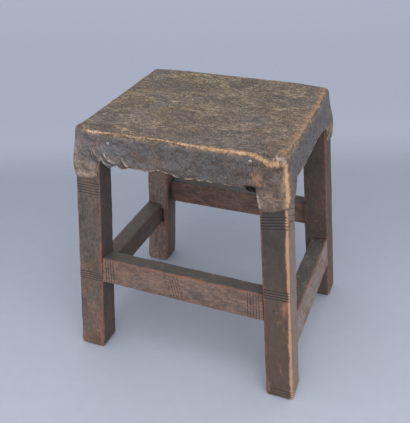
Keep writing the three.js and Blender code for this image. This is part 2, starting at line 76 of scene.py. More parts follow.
class Face(IntEnum):
    """The four long faces of a leg, in the order of a walk round it, and the first face of a stretcher."""

    RIGHT = 0
    BACK = 1
    LEFT = 2
    FRONT = 3
    OUTSIDE = 0

    @property
    def heading(self) -> Array:
        """The way it looks, along a bar's outer and top directions."""
        return np.array([(1, 0), (0, 1), (-1, 0), (0, -1)], float)[self]


# Random but repeatable relief


def lattice(cells: Array, seed: int) -> Array:
    """A repeatable random value from -1 to 1 for each cell of a lattice.

    Args:
        cells: Whole numbers, three to a cell.
        seed: Picks one of many such fields.

    Returns:
        One value for each cell.
    """
    x, y, z = (cells[..., i].astype(np.uint64) for i in range(3))
    key = x * np.uint64(73856093) ^ y * np.uint64(19349663) ^ z * np.uint64(83492791)
    key = (key ^ np.uint64(seed * 2654435761 % 2**32)) & np.uint64(0xFFFFFFFF)
    for shift in (15, 13, 16):
        key = (key ^ (key >> np.uint64(shift))) * np.uint64(2246822519) & np.uint64(0xFFFFFFFF)
    return key.astype(float) / 2**31 - 1.0


@dataclass(frozen=True)
class Relief:
    """Smooth random relief over space, the same on every run.

    Attributes:
        size: The size of its bumps along the three axes.
        octaves: How many layers it has, each with bumps half as large as the one before.
    """

    size: Triple
    seed: int
    octaves: int = 1

    def layer(self, points: Array, step: int) -> Array:
        """One layer of the relief.

        Args:
            points: Where it is wanted.
            step: The layer's number, from 0 for the broadest.

        Returns:
            Its height at each point, from -1 to 1.
        """
        place = points / np.array(self.size) * 2.0**step + 1000.5 + 7.3 * step
        cell = np.floor(place)
        share = place - cell
        share = share * share * (3.0 - 2.0 * share)
        cell = cell.astype(np.int64)
        total = np.zeros(points.shape[:-1])
        for corner in np.ndindex(2, 2, 2):
            pick = np.where(np.array(corner) == 1, share, 1.0 - share)
            total += pick.prod(axis=-1) * lattice(cell + np.array(corner), self.seed + 31 * step)
        return total

    def at(self, points: Array) -> Array:
        """The whole relief's height at some points, roughly from -1 to 1."""
        weights = [0.5**step for step in range(self.octaves)]
        return sum(w * self.layer(points, step) for step, w in enumerate(weights)) / sum(weights)


def smooth(low: float, high: float, value: Array) -> Array:
    """A soft step from 0 at low to 1 at high."""
    share = np.clip((value - low) / (high - low), 0.0, 1.0)
    return share * share * (3.0 - 2.0 * share)


def hump(value: Array, width: float) -> Array:
    """A soft bump that is 1 where the value is 0 and fades over the width."""
    return np.exp(-((value / width) ** 2))


# Meshes


def added(name: str, data: bpy.types.ID) -> Piece:
    """A new object in the scene, which shows a mesh, a lamp or a camera."""
    made = bpy.data.objects.new(name, data)
    bpy.context.scene.collection.objects.link(made)
    return made


def corners(node: str) -> Array:
    """The points of one of the frame's nodes."""
    return np.array([vertex.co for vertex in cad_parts[node].data.vertices])


@dataclass
class Skin:
    """Points and faces that are gathered into one mesh, with named values on the points."""

    name: str
    points: list[Array] = field(default_factory=list)
    faces: list[Array] = field(default_factory=list)
    values: dict[str, list[Array]] = field(default_factory=dict)
    count: int = 0

    def add_points(self, points: Array, **values: Array) -> Array:
        """Adds a block of points.

        Args:
            points: An array whose last axis is X, Y, Z.
            values: For each name a number or a vector for each point.

        Returns:
            The points' numbers, in the block's own shape.
        """
        shape = points.shape[:-1]
        size = int(np.prod(shape))
        self.points.append(points.reshape(size, 3))
        for name, value in values.items():
            wanted = shape + ((3,) if np.ndim(value) > len(shape) else ())
            whole = np.broadcast_to(value, wanted)
            self.values.setdefault(name, []).append(whole.reshape(size, -1))
        first = self.count
        self.count += size
        return np.arange(first, self.count).reshape(shape)

    def add_grid(self, rows: Array, closed: bool = False, flip: bool = False) -> None:
        """Adds the four-sided faces of a grid of point numbers.

        Args:
            rows: The points' numbers, one row after another.
            closed: Whether each row's end joins its start.
            flip: Whether the faces are turned over.
        """
        if closed:
            rows = np.concatenate([rows, rows[:, :1]], axis=1)
        quads = np.stack([rows[:-1, :-1], rows[:-1, 1:], rows[1:, 1:], rows[1:, :-1]], axis=-1)
        quads = quads.reshape(-1, 4)
        self.faces.append(quads[:, ::-1] if flip else quads)

    def add_fan(self, ring: Array, middle: int, flip: bool = False) -> None:
        """Closes a ring of point numbers with three-sided faces round a middle one, turned over for flip."""
        triangles = np.stack([ring, np.roll(ring, -1), np.full_like(ring, middle)], axis=-1)
        self.faces.append(triangles[:, ::-1] if flip else triangles)

    def build(self, material: Material) -> Piece:
        """Makes the mesh object, smooth shaded, at the origin.

        Args:
            material: Its finish.

        Returns:
            The new object, linked to the scene.
        """
        mesh = bpy.data.meshes.new(self.name)
        faces = [face.tolist() for block in self.faces for face in block]
        mesh.from_pydata(np.concatenate(self.points).tolist(), [], faces)
        for name, blocks in self.values.items():
            data = np.concatenate(blocks).astype(np.float32)
            kind = "FLOAT_VECTOR" if data.shape[1] == 3 else "FLOAT"
            attribute = mesh.attributes.new(name, kind, "POINT")
            attribute.data.foreach_set("vector" if data.shape[1] == 3 else "value", data.ravel())
        mesh.polygons.foreach_set("use_smooth", [True] * len(mesh.polygons))
        mesh.materials.append(material)
        mesh.validate()
        mesh.update()
        return added(self.name, mesh)


def settle(piece: Piece, slot: Slot, *nodes: str) -> None:
    """Puts a finished piece on the stool's body, in place of the nodes that it stands for.

    Args:
        piece: The piece.
        slot: Its material slot; not used.
        nodes: The nodes that it replaces.
    """
    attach(piece, "root")
    if nodes:
        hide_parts(*nodes)
    triangles = sum(len(p.vertices) - 2 for p in piece.data.polygons)
    log.info("%s: %d triangles", piece.name, triangles)


# Node trees and finishes


class Nodes:
    """Writes the nodes of one tree, a call for each node."""

    def __init__(self, tree: bpy.types.NodeTree) -> None:
        """Starts on that tree."""
        self.tree = tree

    def add(self, kind: str, inputs: dict, **settings: object) -> Node:
        """Adds a node.

        Args:
            kind: The node's type.
            inputs: For each input, by name or number, a value, or the socket or node that feeds it.
            settings: The node's own settings.

        Returns:
            The node.
        """
        node = self.tree.nodes.new(kind)
        for name, value in settings.items():
            setattr(node, name, value)
        for name, value in inputs.items():
            if isinstance(value, Node):
                value = value.outputs[0]
            if isinstance(value, Socket):
                self.tree.links.new(value, node.inputs[name])
            elif isinstance(value, tuple) and node.inputs[name].type == "RGBA":
                node.inputs[name].default_value = (*value, 1.0)
            else:
                node.inputs[name].default_value = value
        return node

    def math(self, operation: str, a: object, b: object = 0.0) -> Socket:
        """A sum of two values, each a number or a socket."""
        return self.add("ShaderNodeMath", {0: a, 1: b}, operation=operation).outputs[0]


class Shader(Nodes):
    """Writes the nodes of one material."""

    def __init__(self, name: str) -> None:
        """Starts an empty material with that name."""
        self.material = bpy.data.materials.new(name)
        self.material.use_nodes = True
        super().__init__(self.material.node_tree)
        self.tree.nodes.clear()
        self.output = self.tree.nodes.new("ShaderNodeOutputMaterial")

    def place(self) -> Socket:
        """The point's own place on the stool."""
        return self.add("ShaderNodeTexCoord", {}).outputs["Object"]

    def axis(self, letter: str) -> Socket:
        """The point's place along X, Y or Z."""
        return self.add("ShaderNodeSeparateXYZ", {0: self.place()}).outputs[letter]

    def lengthways(self) -> Socket:
        """The point's place with X put last, for grain that runs along X."""
        turned = {0: self.axis("Y"), 1: self.axis("Z"), 2: self.axis("X")}
        return self.add("ShaderNodeCombineXYZ", turned).outputs[0]

    def upwards(self) -> Socket:
        """How far the surface looks up: the Z of its normal."""
        normal = self.add("ShaderNodeTexCoord", {}).outputs["Normal"]
        return self.add("ShaderNodeSeparateXYZ", {0: normal}).outputs["Z"]

    def value(self, name: str, kind: str = "Fac") -> Socket:
        """A number, or for the kind Vector a vector, that the mesh holds at each point."""
        return self.add("ShaderNodeAttribute", {}, attribute_name=name).outputs[kind]

    def scaled(self, vector: Socket, scale: Triple, shift: float = 0.0) -> Socket:
        """A vector with each axis multiplied, then shifted to another part of the pattern."""
        inputs = {"Vector": vector, "Scale": scale, "Location": (shift, shift, shift)}
        return self.add("ShaderNodeMapping", inputs).outputs[0]

    def noise(self, vector: Socket, scale: float, detail: float = 3.0, rough: float = 0.55,
              bend: float = 0.0) -> Socket:
        """Cloudy noise from 0 to 1."""
        inputs = {"Vector": vector, "Scale": scale, "Detail": detail, "Roughness": rough, "Distortion": bend}
        return self.add("ShaderNodeTexNoise", inputs).outputs["Fac"]

    def cells(self, vector: Socket, scale: float) -> Socket:
        """The distance to the nearest of many scattered points."""
        return self.add("ShaderNodeTexVoronoi", {"Vector": vector, "Scale": scale}).outputs["Distance"]

    def step(self, value: Socket, low: float, high: float, to_low: float = 0.0,
             to_high: float = 1.0) -> Socket:
        """A soft step between two values."""
        inputs = {"Value": value, "From Min": low, "From Max": high, "To Min": to_low, "To Max": to_high}
        return self.add("ShaderNodeMapRange", inputs, interpolation_type="SMOOTHSTEP").outputs["Result"]

    def plus(self, a: Socket, b: object) -> Socket:
        """Two values added."""
        return self.math("ADD", a, b)

    def product(self, *values: object) -> Socket:
        """Several values, each a number or a socket, multiplied."""
        return reduce(lambda a, b: self.math("MULTIPLY", a, b), values)

    def off(self, value: Socket, middle: float) -> Socket:
        """How far a value is from a middle one, either way."""
        return self.math("ABSOLUTE", self.math("SUBTRACT", value, middle))

    def vein(self, noise: Socket, width: float) -> Socket:
        """Thin wandering lines, 1 along the middle value of a noise and 0 further off than the width."""
        return self.step(self.off(noise, 0.5), 0.0, width, 1.0, 0.0)

    def blend(self, share: object, under: object, over: object, mode: str = "MIX") -> Socket:
        """One colour over another."""
        inputs = {0: share, 6: under, 7: over}
        return self.add("ShaderNodeMix", inputs, data_type="RGBA", blend_type=mode).outputs[2]

    def coats(self, colour: object, *coats: tuple[object, object]) -> Socket:
        """A colour with others laid over it, each given as its share and its colour."""
        return reduce(lambda under, coat: self.blend(coat[0], under, coat[1]), coats, colour)

    def reliefs(self, *layers: tuple[Socket, float]) -> Socket:
        """Reliefs laid over one another for the light to catch.

        Args:
            layers: For each its height from 0 to 1 and its depth in metres.

        Returns:
            The normal of the whole relief.
        """
        relief = None
        for height, depth in layers:
            inputs = {"Height": height, "Distance": depth, "Strength": 1.0}
            if relief is not None:
                inputs["Normal"] = relief
            relief = self.add("ShaderNodeBump", inputs).outputs[0]
        return relief

    def finish(self, colour: Socket, rough: Socket, relief: Socket, **others: object) -> Material:
        """Ends the material in one surface.

        Args:
            colour: Its colour.
            rough: Its roughness.
            relief: Its normal.
            others: Other inputs of the surface, by name, with _ for a space.

        Returns:
            The material.
        """
        inputs = {"Base Color": colour, "Roughness": rough, "Normal": relief}
        inputs |= {name.replace("_", " "): value for name, value in others.items()}
        surface = self.add("ShaderNodeBsdfPrincipled", inputs)
        self.tree.links.new(surface.outputs[0], self.output.inputs["Surface"])
        return self.material


def tinted(colour: Colour, factor: float) -> Colour:
    """A colour made lighter or darker."""
    return tuple(min(1.0, factor * part) for part in colour)


@dataclass(frozen=True)
class HewnWood:
    """Old hand-worked wood: fine grain, red patches, scuffs, sooty tops and rubbed arrises.

    Attributes:
        dark: The colour between the fibres.
        warm: The colour of the redder patches.
        soot: The film on the faces that look up.
        red: The colour of a handled arris.
        rubbed: The colour of an arris that is worn bare.
        bare: The bleached colour of a face that is worn bare.
        redness: How much of the surface the redder patches take.
        glow: How much of the tint the wood has at the floor.
        floor_tint: How much lighter and warmer the wood can be at the floor than higher up.
    """

    dark: Colour = (0.046, 0.040, 0.035)
    body: Colour = (0.200, 0.165, 0.138)
    warm: Colour = (0.265, 0.145, 0.098)
    soot: Colour = (0.062, 0.062, 0.058)
    red: Colour = (0.240, 0.105, 0.063)
    rubbed: Colour = (0.560, 0.310, 0.180)
    bare: Colour = (0.400, 0.300, 0.245)
    redness: float = 0.45
    glow: float = 0.42
    floor_tint: Colour = (1.75, 1.44, 1.28)

    def build(self, name: str, grain: str | None = "grain") -> Material:
        """Writes the material.

        Args:
            name: The material's name.
            grain: The attribute whose third axis runs along the grain, or None for the Object X axis.

        Returns:
            The material.
        """
        s = Shader(name)
        along = s.value(grain, "Vector") if grain else s.lengthways()
        weave = s.noise(s.scaled(along, (1.0, 1.0, 0.42)), 380.0, 3.0, 0.72, 0.5)
        fibres = s.noise(s.scaled(along, (1.0, 1.0, 0.09), 3.0), 560.0, 3.0, 0.65, 0.3)
        shade = s.noise(s.scaled(along, (1.0, 1.0, 0.5), 2.0), 60.0, 5.0, 0.68, 0.5)
        clouds = s.noise(along, 38.0, 4.0, 0.62)
        patches = s.noise(s.scaled(along, (1.0, 1.0, 0.45), 9.0), 26.0, 4.0, 0.62, 0.4)
        scuffs = s.noise(s.scaled(along, (0.55, 0.55, 1.0), 6.0), 360.0, 3.0, 0.7, 0.8)
        reddest = 0.80 - 0.4 * self.redness
        colour = s.coats(
            self.body,
            (s.step(patches, reddest - 0.14, reddest, 0.0, 0.8), self.warm),
            (s.step(weave, 0.30, 0.62, 0.66, 0.0), self.dark),
            (s.step(fibres, 0.38, 0.54, 0.35, 0.0), self.dark),
            (s.step(shade, 0.36, 0.56, 0.50, 0.0), self.dark),
        )
        low = s.step(s.axis("Z"), 260 * MM, 30 * MM)
        colour = s.blend(s.product(low, self.glow), colour, self.floor_tint, "MULTIPLY")
        film = s.product(s.step(s.upwards(), 0.35, 0.9), s.step(clouds, 0.25, 0.7, 0.95, 0.70))
        scuffed = s.product(s.step(scuffs, 0.56, 0.70), s.step(shade, 0.40, 0.62, 0.1, 0.55))
        colour = s.coats(colour, (film, self.soot), (scuffed, tinted(self.body, 1.9)))
        if grain:
            colour = self.worn(s, along, clouds, colour)
        relief = s.reliefs((shade, 1.6 * MM), (weave, 0.6 * MM), (fibres, 0.4 * MM), (scuffs, 0.3 * MM))
        return s.finish(colour, s.step(clouds, 0.3, 0.7, 0.50, 0.70), relief, Specular_IOR_Level=0.42)

    def worn(self, s: Shader, along: Socket, clouds: Socket, colour: Socket) -> Socket:
        """Adds what depends on the shape: painted shade, with some soot, on inner faces, bare faces, rubbed
        arrises, and cuts with painted shade inside and a painted highlight along their edges.

        Args:
            s: The material's writer.
            along: The place in the grain.
            clouds: A broad noise.
            colour: The colour so far.

        Returns:
            The whole colour.
        """
        broken = s.noise(s.scaled(along, (1.0, 1.0, 0.40), 5.0), 230.0, 4.0, 0.7)
        pale = s.plus(s.value("bare"), s.step(broken, 0.3, 0.7, -0.35, 0.25))
        rub = s.plus(s.value("edge"), s.step(broken, 0.3, 0.7, -0.24, 0.20))
        groove = s.value("groove")
        return s.coats(
            colour,
            # Painted shade, with some soot, on faces that look inwards and on the bars' ends
            (s.product(s.value("inner"), s.step(clouds, 0.3, 0.7, 0.85, 0.6)), self.dark),
            (s.step(pale, 0.15, 0.85, 0.0, 0.9), self.bare),
            (s.step(rub, 0.42, 0.72, 0.0, 0.85), self.red),
            (s.step(rub, 0.80, 1.10, 0.0, 0.9), self.rubbed),
            # A painted highlight along the edges of the cuts, and painted shade deep in the cuts and slits
            (s.step(groove, 0.02, 0.22, 0.0, 0.45), tinted(self.body, 1.35)),
            (s.step(groove, 0.22, 0.75, 0.0, 0.85), tinted(self.dark, 0.4)),
        )


@dataclass(frozen=True)
class Rawhide:
    """Old smoke-dark rawhide: a grainy wrinkled seat, slate sides, tan grips over the legs, rubbed ridges.

    Attributes:
        dark: The deep colour between the wrinkles.
        straw: The lighter mottling on the seat.
        haze: The cooler patches on the seat.
        ash: The pinkish grey patches on the seat.
        side_tint: How the sides darken from left to right.
        teal: The darkest patch on the front.
        lead: The colour of the right side.
        earth: The brown patches on the sides.
        grip_tint: How the hide over the legs darkens from left to right.
        tan: The warm colour beside a worn ridge.
        pale: A worn ridge, and a crease's lip.
        gold: A worn ridge towards the right.
        rim: The raw cut or torn edge.
    """

    dark: Colour = (0.060, 0.047, 0.039)
    seat: Colour = (0.300, 0.212, 0.145)
    straw: Colour = (0.540, 0.425, 0.265)
    haze: Colour = (0.290, 0.240, 0.225)
    ash: Colour = (0.370, 0.255, 0.202)
    slate: Colour = (0.192, 0.180, 0.188)
    side_tint: Colour = (0.80, 0.76, 0.74)
    teal: Colour = (0.100, 0.108, 0.114)
    lead: Colour = (0.160, 0.162, 0.168)
    earth: Colour = (0.180, 0.126, 0.106)
    grip: Colour = (0.530, 0.390, 0.295)
    grip_tint: Colour = (0.66, 0.63, 0.58)
    tan: Colour = (0.370, 0.212, 0.108)
    pale: Colour = (0.780, 0.610, 0.500)
    gold: Colour = (0.600, 0.400, 0.245)
    rim: Colour = (0.560, 0.395, 0.250)

    def build(self, name: str) -> Material:
        """Writes the material.

        Args:
            name: The material's name.

        Returns:
            The material.
        """
        s = Shader(name)
        place = s.place()
        grain = s.noise(place, 330.0, 3.0, 0.72, 0.5)
        clouds = s.noise(place, 14.0, 3.0, 0.58)
        mottle = s.noise(s.scaled(place, (0.6, 1.0, 1.0), 2.0), 60.0, 4.0, 0.65)
        blotches = s.noise(s.scaled(place, (0.7, 1.0, 0.8), 6.0), 90.0, 5.0, 0.70, 0.7)
        flecks = s.noise(s.scaled(place, (1.0, 1.0, 0.6), 5.0), 640.0, 2.0, 0.65)
        pebbles = s.cells(place, 420.0)
        wrinkles = s.vein(s.noise(s.scaled(place, (0.42, 1.0, 1.0)), 165.0, 4.0, 0.65, 1.0), 0.05)
        folds = s.vein(s.noise(s.scaled(place, (0.35, 1.0, 0.8), 4.0), 70.0, 3.0, 0.6, 1.3), 0.035)
        top = s.step(s.upwards(), 0.35, 0.85)
        stronger = s.step(top, 0.0, 1.0, 0.6, 1.0)
        colour = s.coats(
            self.side_colour(s, mottle),
            (top, self.seat_colour(s, clouds, mottle)),
            (s.product(s.step(grain, 0.34, 0.60, 0.80, 0.0), stronger), self.dark),
            (s.step(blotches, 0.38, 0.54, 0.62, 0.0), self.dark),
            (s.product(s.step(pebbles, 0.30, 0.65, 0.0, 0.35), top), self.dark),
            (s.product(wrinkles, top, 0.78), self.dark),
            (s.product(folds, s.step(clouds, 0.35, 0.6, 0.25, 0.8)), self.dark),
            (s.product(s.step(flecks, 0.56, 0.68, 0.0, 0.50), stronger),
             s.blend(top, tinted(self.ash, 1.5), self.straw)),
        )
        colour = self.worn(s, clouds, colour)
        creased = s.product(wrinkles, top)
        relief = s.reliefs(
            (pebbles, -0.3 * MM), (grain, 0.9 * MM), (creased, -0.5 * MM), (blotches, 2.2 * MM),
        )
        # Less sheen where shade is painted
        shine = s.step(s.value("stain"), 0.0, 0.8, 0.40, 0.05)
        return s.finish(colour, s.step(mottle, 0.3, 0.7, 0.46, 0.68), relief, Specular_IOR_Level=shine)

    def seat_colour(self, s: Shader, clouds: Socket, mottle: Socket) -> Socket:
        """The seat: straw and brown behind and to the left, ashy towards the front right corner.

        Args:
            s: The material's writer.
            clouds: A broad noise.
            mottle: A finer one.

        Returns:
            Its colour.
        """
        patches = s.noise(s.scaled(s.place(), (0.8, 1.0, 1.0), 11.0), 26.0, 4.0, 0.62, 0.9)
        hazes = s.noise(s.scaled(s.place(), (0.7, 1.0, 1.0), 15.0), 21.0, 3.0, 0.6, 0.6)
        across = s.math("SUBTRACT", s.product(s.axis("X"), 0.6), s.axis("Y"))
        ashy = s.step(s.plus(across, s.product(clouds, 0.16)), 0.03, 0.16, 0.0, 0.85)
        return s.coats(
            self.seat,
            (s.product(s.step(mottle, 0.40, 0.62), s.step(clouds, 0.34, 0.60, 0.2, 0.95)), self.straw),
            (ashy, self.ash),
            (s.step(patches, 0.38, 0.50, 0.55, 0.0), self.dark),
            (s.step(patches, 0.52, 0.62, 0.0, 0.65), self.straw),
            (s.step(hazes, 0.50, 0.62, 0.0, 0.55), self.haze),
            (s.step(hazes, 0.38, 0.48, 0.50, 0.0), self.tan),
        )

    def side_colour(self, s: Shader, mottle: Socket) -> Socket:
        """The sides: slate turning to brown towards the right, and mottled tan on the legs.

        Args:
            s: The material's writer.
            mottle: A fine noise.

        Returns:
            Their colour.
        """
        x = s.axis("X")
        patches = s.noise(s.scaled(s.place(), (1.0, 1.0, 1.3), 7.0), 32.0, 3.0, 0.6, 0.6)
        colour = s.coats(
            self.slate,
            (s.step(s.plus(s.product(x, 0.7), patches), 0.46, 0.60), self.earth),
            (s.step(mottle, 0.34, 0.50, 0.45, 0.0), tinted(self.slate, 0.4)),
        )
        colour = s.blend(s.step(x, -90 * MM, -20 * MM), colour, self.side_tint, "MULTIPLY")
        dark_band = s.off(s.plus(x, s.product(patches, 0.02)), 56 * MM)
        brown_band = s.off(s.plus(x, s.product(patches, 0.01)), -25 * MM)
        colour = s.coats(
            colour,
            (s.step(dark_band, 10 * MM, 24 * MM, 0.75, 0.0), self.teal),
            (s.step(brown_band, 2 * MM, 8 * MM, 0.5, 0.0), tinted(self.earth, 1.5)),
            (s.step(x, 130 * MM, 142 * MM, 0.0, 0.7), self.lead),
        )
        grip = s.blend(s.step(mottle, 0.36, 0.62), tinted(self.grip, 0.55), self.grip)
        grip = s.blend(s.step(x, -20 * MM, 100 * MM), grip, self.grip_tint, "MULTIPLY")
        grip = s.blend(s.step(s.value("rim"), 0.0, 0.6, 0.0, 0.5), grip, self.dark)
        return s.blend(s.value("grip"), colour, grip)

    def worn(self, s: Shader, clouds: Socket, colour: Socket) -> Socket:
        """Adds the rubbed ridges with their warm surrounds, the creases' lips, the raw edges and the painted
        shade.

        Args:
            s: The material's writer.
            clouds: A broad noise.
            colour: The colour so far.

        Returns:
            The whole colour.
        """
        fringe = s.noise(s.scaled(s.place(), (1.0, 0.6, 0.35), 8.0), 400.0, 3.0, 0.72)
        broken = s.noise(s.place(), 130.0, 4.0, 0.65)
        ragged = s.plus(s.step(fringe, 0.3, 0.7, -0.32, 0.28), s.step(broken, 0.3, 0.7, -0.28, 0.24))
        ridge = s.plus(s.product(s.value("ridge"), s.step(clouds, 0.35, 0.60, 0.75, 1.15)), ragged)
        to_right = s.step(s.plus(s.axis("X"), s.product(fringe, 0.2)), 30 * MM, 170 * MM)
        torn = s.plus(s.value("rim"), s.step(broken, 0.40, 0.60, -0.60, 0.25))
        torn = s.math("SUBTRACT", torn, s.product(s.value("grip"), 0.35))
        # Painted shade: below the creases' lips, in the notch by the front right leg, and on the rear and
        # left roundings
        painted_shade = s.product(s.value("stain"), s.step(fringe, 0.50, 0.70, 0.97, 0.75))
        return s.coats(
            colour,
            (s.step(s.plus(s.value("halo"), ragged), 0.30, 1.05, 0.0, 0.80), self.tan),
            (s.step(ridge, 0.30, 0.80, 0.0, 0.85), tinted(self.tan, 1.2)),
            (s.step(ridge, 0.74, 1.22, 0.0, 0.90), s.blend(to_right, self.pale, self.gold)),
            (s.step(s.plus(s.value("fold"), ragged), 0.30, 1.15, 0.0, 0.85), tinted(self.pale, 0.75)),
            (s.step(torn, 0.50, 0.90, 0.0, 0.85), self.rim),
            (painted_shade, tinted(self.dark, 0.2)),
        )


@dataclass(frozen=True)
class Iron:
    """Rubbed hand-made iron."""

    bright: Colour = (0.62, 0.60, 0.57)
    rust: Colour = (0.13, 0.075, 0.045)

    def build(self, name: str) -> Material:
        """Writes the material.

        Args:
            name: The material's name.

        Returns:
            The material.
        """
        s = Shader(name)
        place = s.place()
        stain = s.step(s.noise(place, 700.0, 3.0, 0.6), 0.42, 0.62)
        relief = s.reliefs((s.noise(place, 1100.0, 2.0, 0.5), 0.2 * MM))
        metal = s.step(stain, 0.0, 1.0, 0.9, 0.25)
        colour = s.blend(stain, self.bright, self.rust)
        return s.finish(colour, s.step(stain, 0.0, 1.0, 0.34, 0.7), relief, Metallic=metal)


@dataclass(frozen=True)
class Floor:
    """A plain pale floor of a cool grey: painted shade makes it a little darker behind the stool, and painted
    light makes it lighter again far off.
    """

    near: Colour = (0.48, 0.51, 0.60)
    middle: Colour = (0.33, 0.362, 0.44)
    far: Colour = (0.43, 0.46, 0.555)
    farthest: Colour = (0.49, 0.53, 0.64)
    away: Triple = (-0.378, 0.926, 0.0)

    def build(self, name: str) -> Material:
        """Writes the material.

        Args:
            name: The material's name.

        Returns:
            The material.
        """
        s = Shader(name)
        place = s.place()
        inputs = {0: place, 1: self.away}
        depth = s.add("ShaderNodeVectorMath", inputs, operation="DOT_PRODUCT").outputs["Value"]
        # Bands of painted shade behind the stool and painted light further off
        colour = s.coats(
            self.near,
            (s.step(depth, -0.35, 0.40), self.middle),
            (s.step(depth, 0.46, 0.70), self.far),
            (s.step(depth, 0.95, 2.30), self.farthest),
        )
        grain = s.noise(place, 60.0, 3.0, 0.5)
        colour = s.blend(1.0, colour, s.step(grain, 0.3, 0.7, 0.97, 1.0), "MULTIPLY")
        relief = s.reliefs((grain, 0.1 * MM))
        return s.finish(colour, s.step(grain, 0.3, 0.7, 0.72, 0.8), relief, Specular_IOR_Level=0.2)


# Bars of wood


@dataclass(frozen=True)
class Cut:
    """One knife-cut line across a face of a bar.

    Attributes:
        station: Its place along the bar, in the middle of the face.
        slope: How far it climbs along the bar for each metre across the face.
        reach: Where it starts and ends, from -1 at one side of the face to 1 at the other.
    """

    face: Face
    station: float
    slope: float = 0.0
    reach: Pair = (-1.3, 1.3)
    width: float = 1.9 * MM
    depth: float = 1.2 * MM


@dataclass(frozen=True)
class Slit:
    """The open rest of a mortise along a face of a bar, its place across counted from the middle."""

    face: Face
    place: float
    first: float
    last: float
    width: float = 4.4 * MM
    depth: float = 3.5 * MM


@dataclass
class Bar:
    """A hewn bar, lofted through rings of a rectangle with round corners.

    Attributes:
        start: The middle of its first section.
        outer: The direction of its outer face, of length 1.
        top: The direction of its top face, of length 1.
        size: Its first section, along outer and along top.
        last_size: Its last section, where it isn't the same.
        across: How many spans each face has across.
        slant: At each end, how far it runs on for each metre towards the top and towards the outer face.
        tenon: Its tenons' size along outer, along top and outwards, or None.
        foot_wear: How far the first end is rounded off.
        inwards: The direction, along outer and along top, of the middle of the stool, where faces get painted
            shade.
        wear: How worn each arris is, in the order of the faces before it: right, back, left, front.
        bare: How far its first face is worn bare.
        hewn: How deep the unevenness of its faces is.
    """

    name: str
    start: Array
    end: Array
    outer: Array
    top: Array
    size: Pair
    last_size: Pair | None = None
    arris: float = 3.2 * MM
    cuts: list[Cut] = field(default_factory=list)
    slits: list[Slit] = field(default_factory=list)
    seed: int = 1
    across: int = 14
    slant: tuple[Pair, Pair] = ((0.0, 0.0), (0.0, 0.0))
    tenon: Triple | None = None
    foot_wear: float = 0.0
    inwards: Pair = (0.0, 0.0)
    wear: tuple[float, float, float, float] = (0.75, 0.75, 0.75, 0.75)
    bare: float = 0.0
    hewn: float = 0.45 * MM
    coarse_step: float = 2.2 * MM
    fine_step: float = 0.38 * MM
    corner_points: int = 7

    @property
    def length(self) -> float:
        """Its length between the two ends."""
        return float(np.linalg.norm(self.end - self.start))

    def half(self, stations: Array) -> Array:
        """Half the section at some stations, along outer and along top."""
        growth = np.array(self.last_size or self.size) - self.size
        return (self.size + (stations / self.length)[:, None] * growth) / 2

    def stations(self) -> Array:
        """The places of the rings along the bar, close together where a line is cut.

        Returns:
            The distances from its first end.
        """
        fine = [np.array([0.0, self.length])]
        for cut in self.cuts:
            half = abs(cut.slope) * self.size[(cut.face + 1) % 2] / 2 + 1.2 * cut.width
            fine.append(np.arange(cut.station - half, cut.station + half, self.fine_step))
        if self.foot_wear:
            fine.append(np.linspace(0.0, 1.4 * self.foot_wear, 7))
        marks = np.unique(np.round(np.concatenate(fine) / self.fine_step)) * self.fine_step
        marks = marks[(marks > 0) & (marks < self.length)]
        coarse = np.arange(0.0, self.length, self.coarse_step)
        near = np.abs(coarse[:, None] - marks).min(axis=1) if len(marks) else 1.0 + coarse
        return np.unique(np.concatenate([coarse[near > 0.6 * self.coarse_step], marks, [0.0, self.length]]))

    def ring(self) -> tuple[Array, Array, Array]:
        """The walk round a section.

        Returns:
            For each point its corner or the one before it, its angle there, and its share of the way to the
            next corner, which is below 0 on a corner itself.
        """
        bends = [(bend, -1.0) for bend in np.linspace(0.0, math.pi / 2, self.corner_points)]
        flats = [(math.pi / 2, i / self.across) for i in range(1, self.across)]
        walk = [(k, k * math.pi / 2 + bend, share) for k in range(4) for bend, share in bends + flats]
        corner, angle, share = np.array(walk).T
        return corner.astype(int), angle, share

    def section(self, stations: Array) -> tuple[Array, Array, Array]:
        """The plain section at each station.

        Args:
            stations: Places along the bar.

        Returns:
            The points' places along outer and top, their outward directions there, and how near each is to an
            arris.
        """
        corner, angle, share = self.ring()
        half = self.half(stations)
        signs = np.array([(1, 1), (-1, 1), (-1, -1), (1, -1)], float)
        spots = np.zeros((len(stations), 4, 3))
        spots[..., 2] = stations[:, None]
        spots[..., :2] = signs * half[:, None]
        wear = Relief((0.05, 0.05, 0.016), self.seed + 5, 3).at(spots)
        radius = self.arris * (1.0 + 0.45 * wear)
        inset = np.zeros(len(stations))
        if self.foot_wear:
            rise = np.clip(stations / (1.4 * self.foot_wear), 0.0, 1.0)
            inset = self.foot_wear * (1.0 - np.sqrt(1.0 - (1.0 - rise) ** 2))
        reach = half[:, None, :] - inset[:, None, None]
        centre = signs[None] * (reach - radius[..., None])
        heading = np.stack([np.cos(angle), np.sin(angle)], axis=-1)
        here = centre[:, corner] + radius[:, corner, None] * heading
        following = (corner + 1) % 4
        there = centre[:, following] + radius[:, following, None] * heading
        flat = np.maximum(share, 0.0)[None, :, None]
        points = here * (1.0 - flat) + there * flat
        bend = angle - corner * math.pi / 2
        on_corner = 1.0 - np.abs(bend - math.pi / 4) / (math.pi / 4) * 0.45
        side = np.array(self.size)[corner % 2] - 2 * self.arris
        away = np.minimum(share, 1.0 - share) * side
        near = np.where(share < 0, on_corner, 0.55 * np.exp(-np.maximum(away, 0.0) / (1.6 * MM)))
        wear = np.array(self.wear)
        near = near * (wear[corner] + (wear[following] - wear[corner]) * (share > 0.5))
        if self.foot_wear:
            near = near + 0.5 * np.exp(-stations / (2.5 * MM))[:, None]
        normals = np.broadcast_to(heading, points.shape)
        return points, normals, np.broadcast_to(near, points.shape[:2])

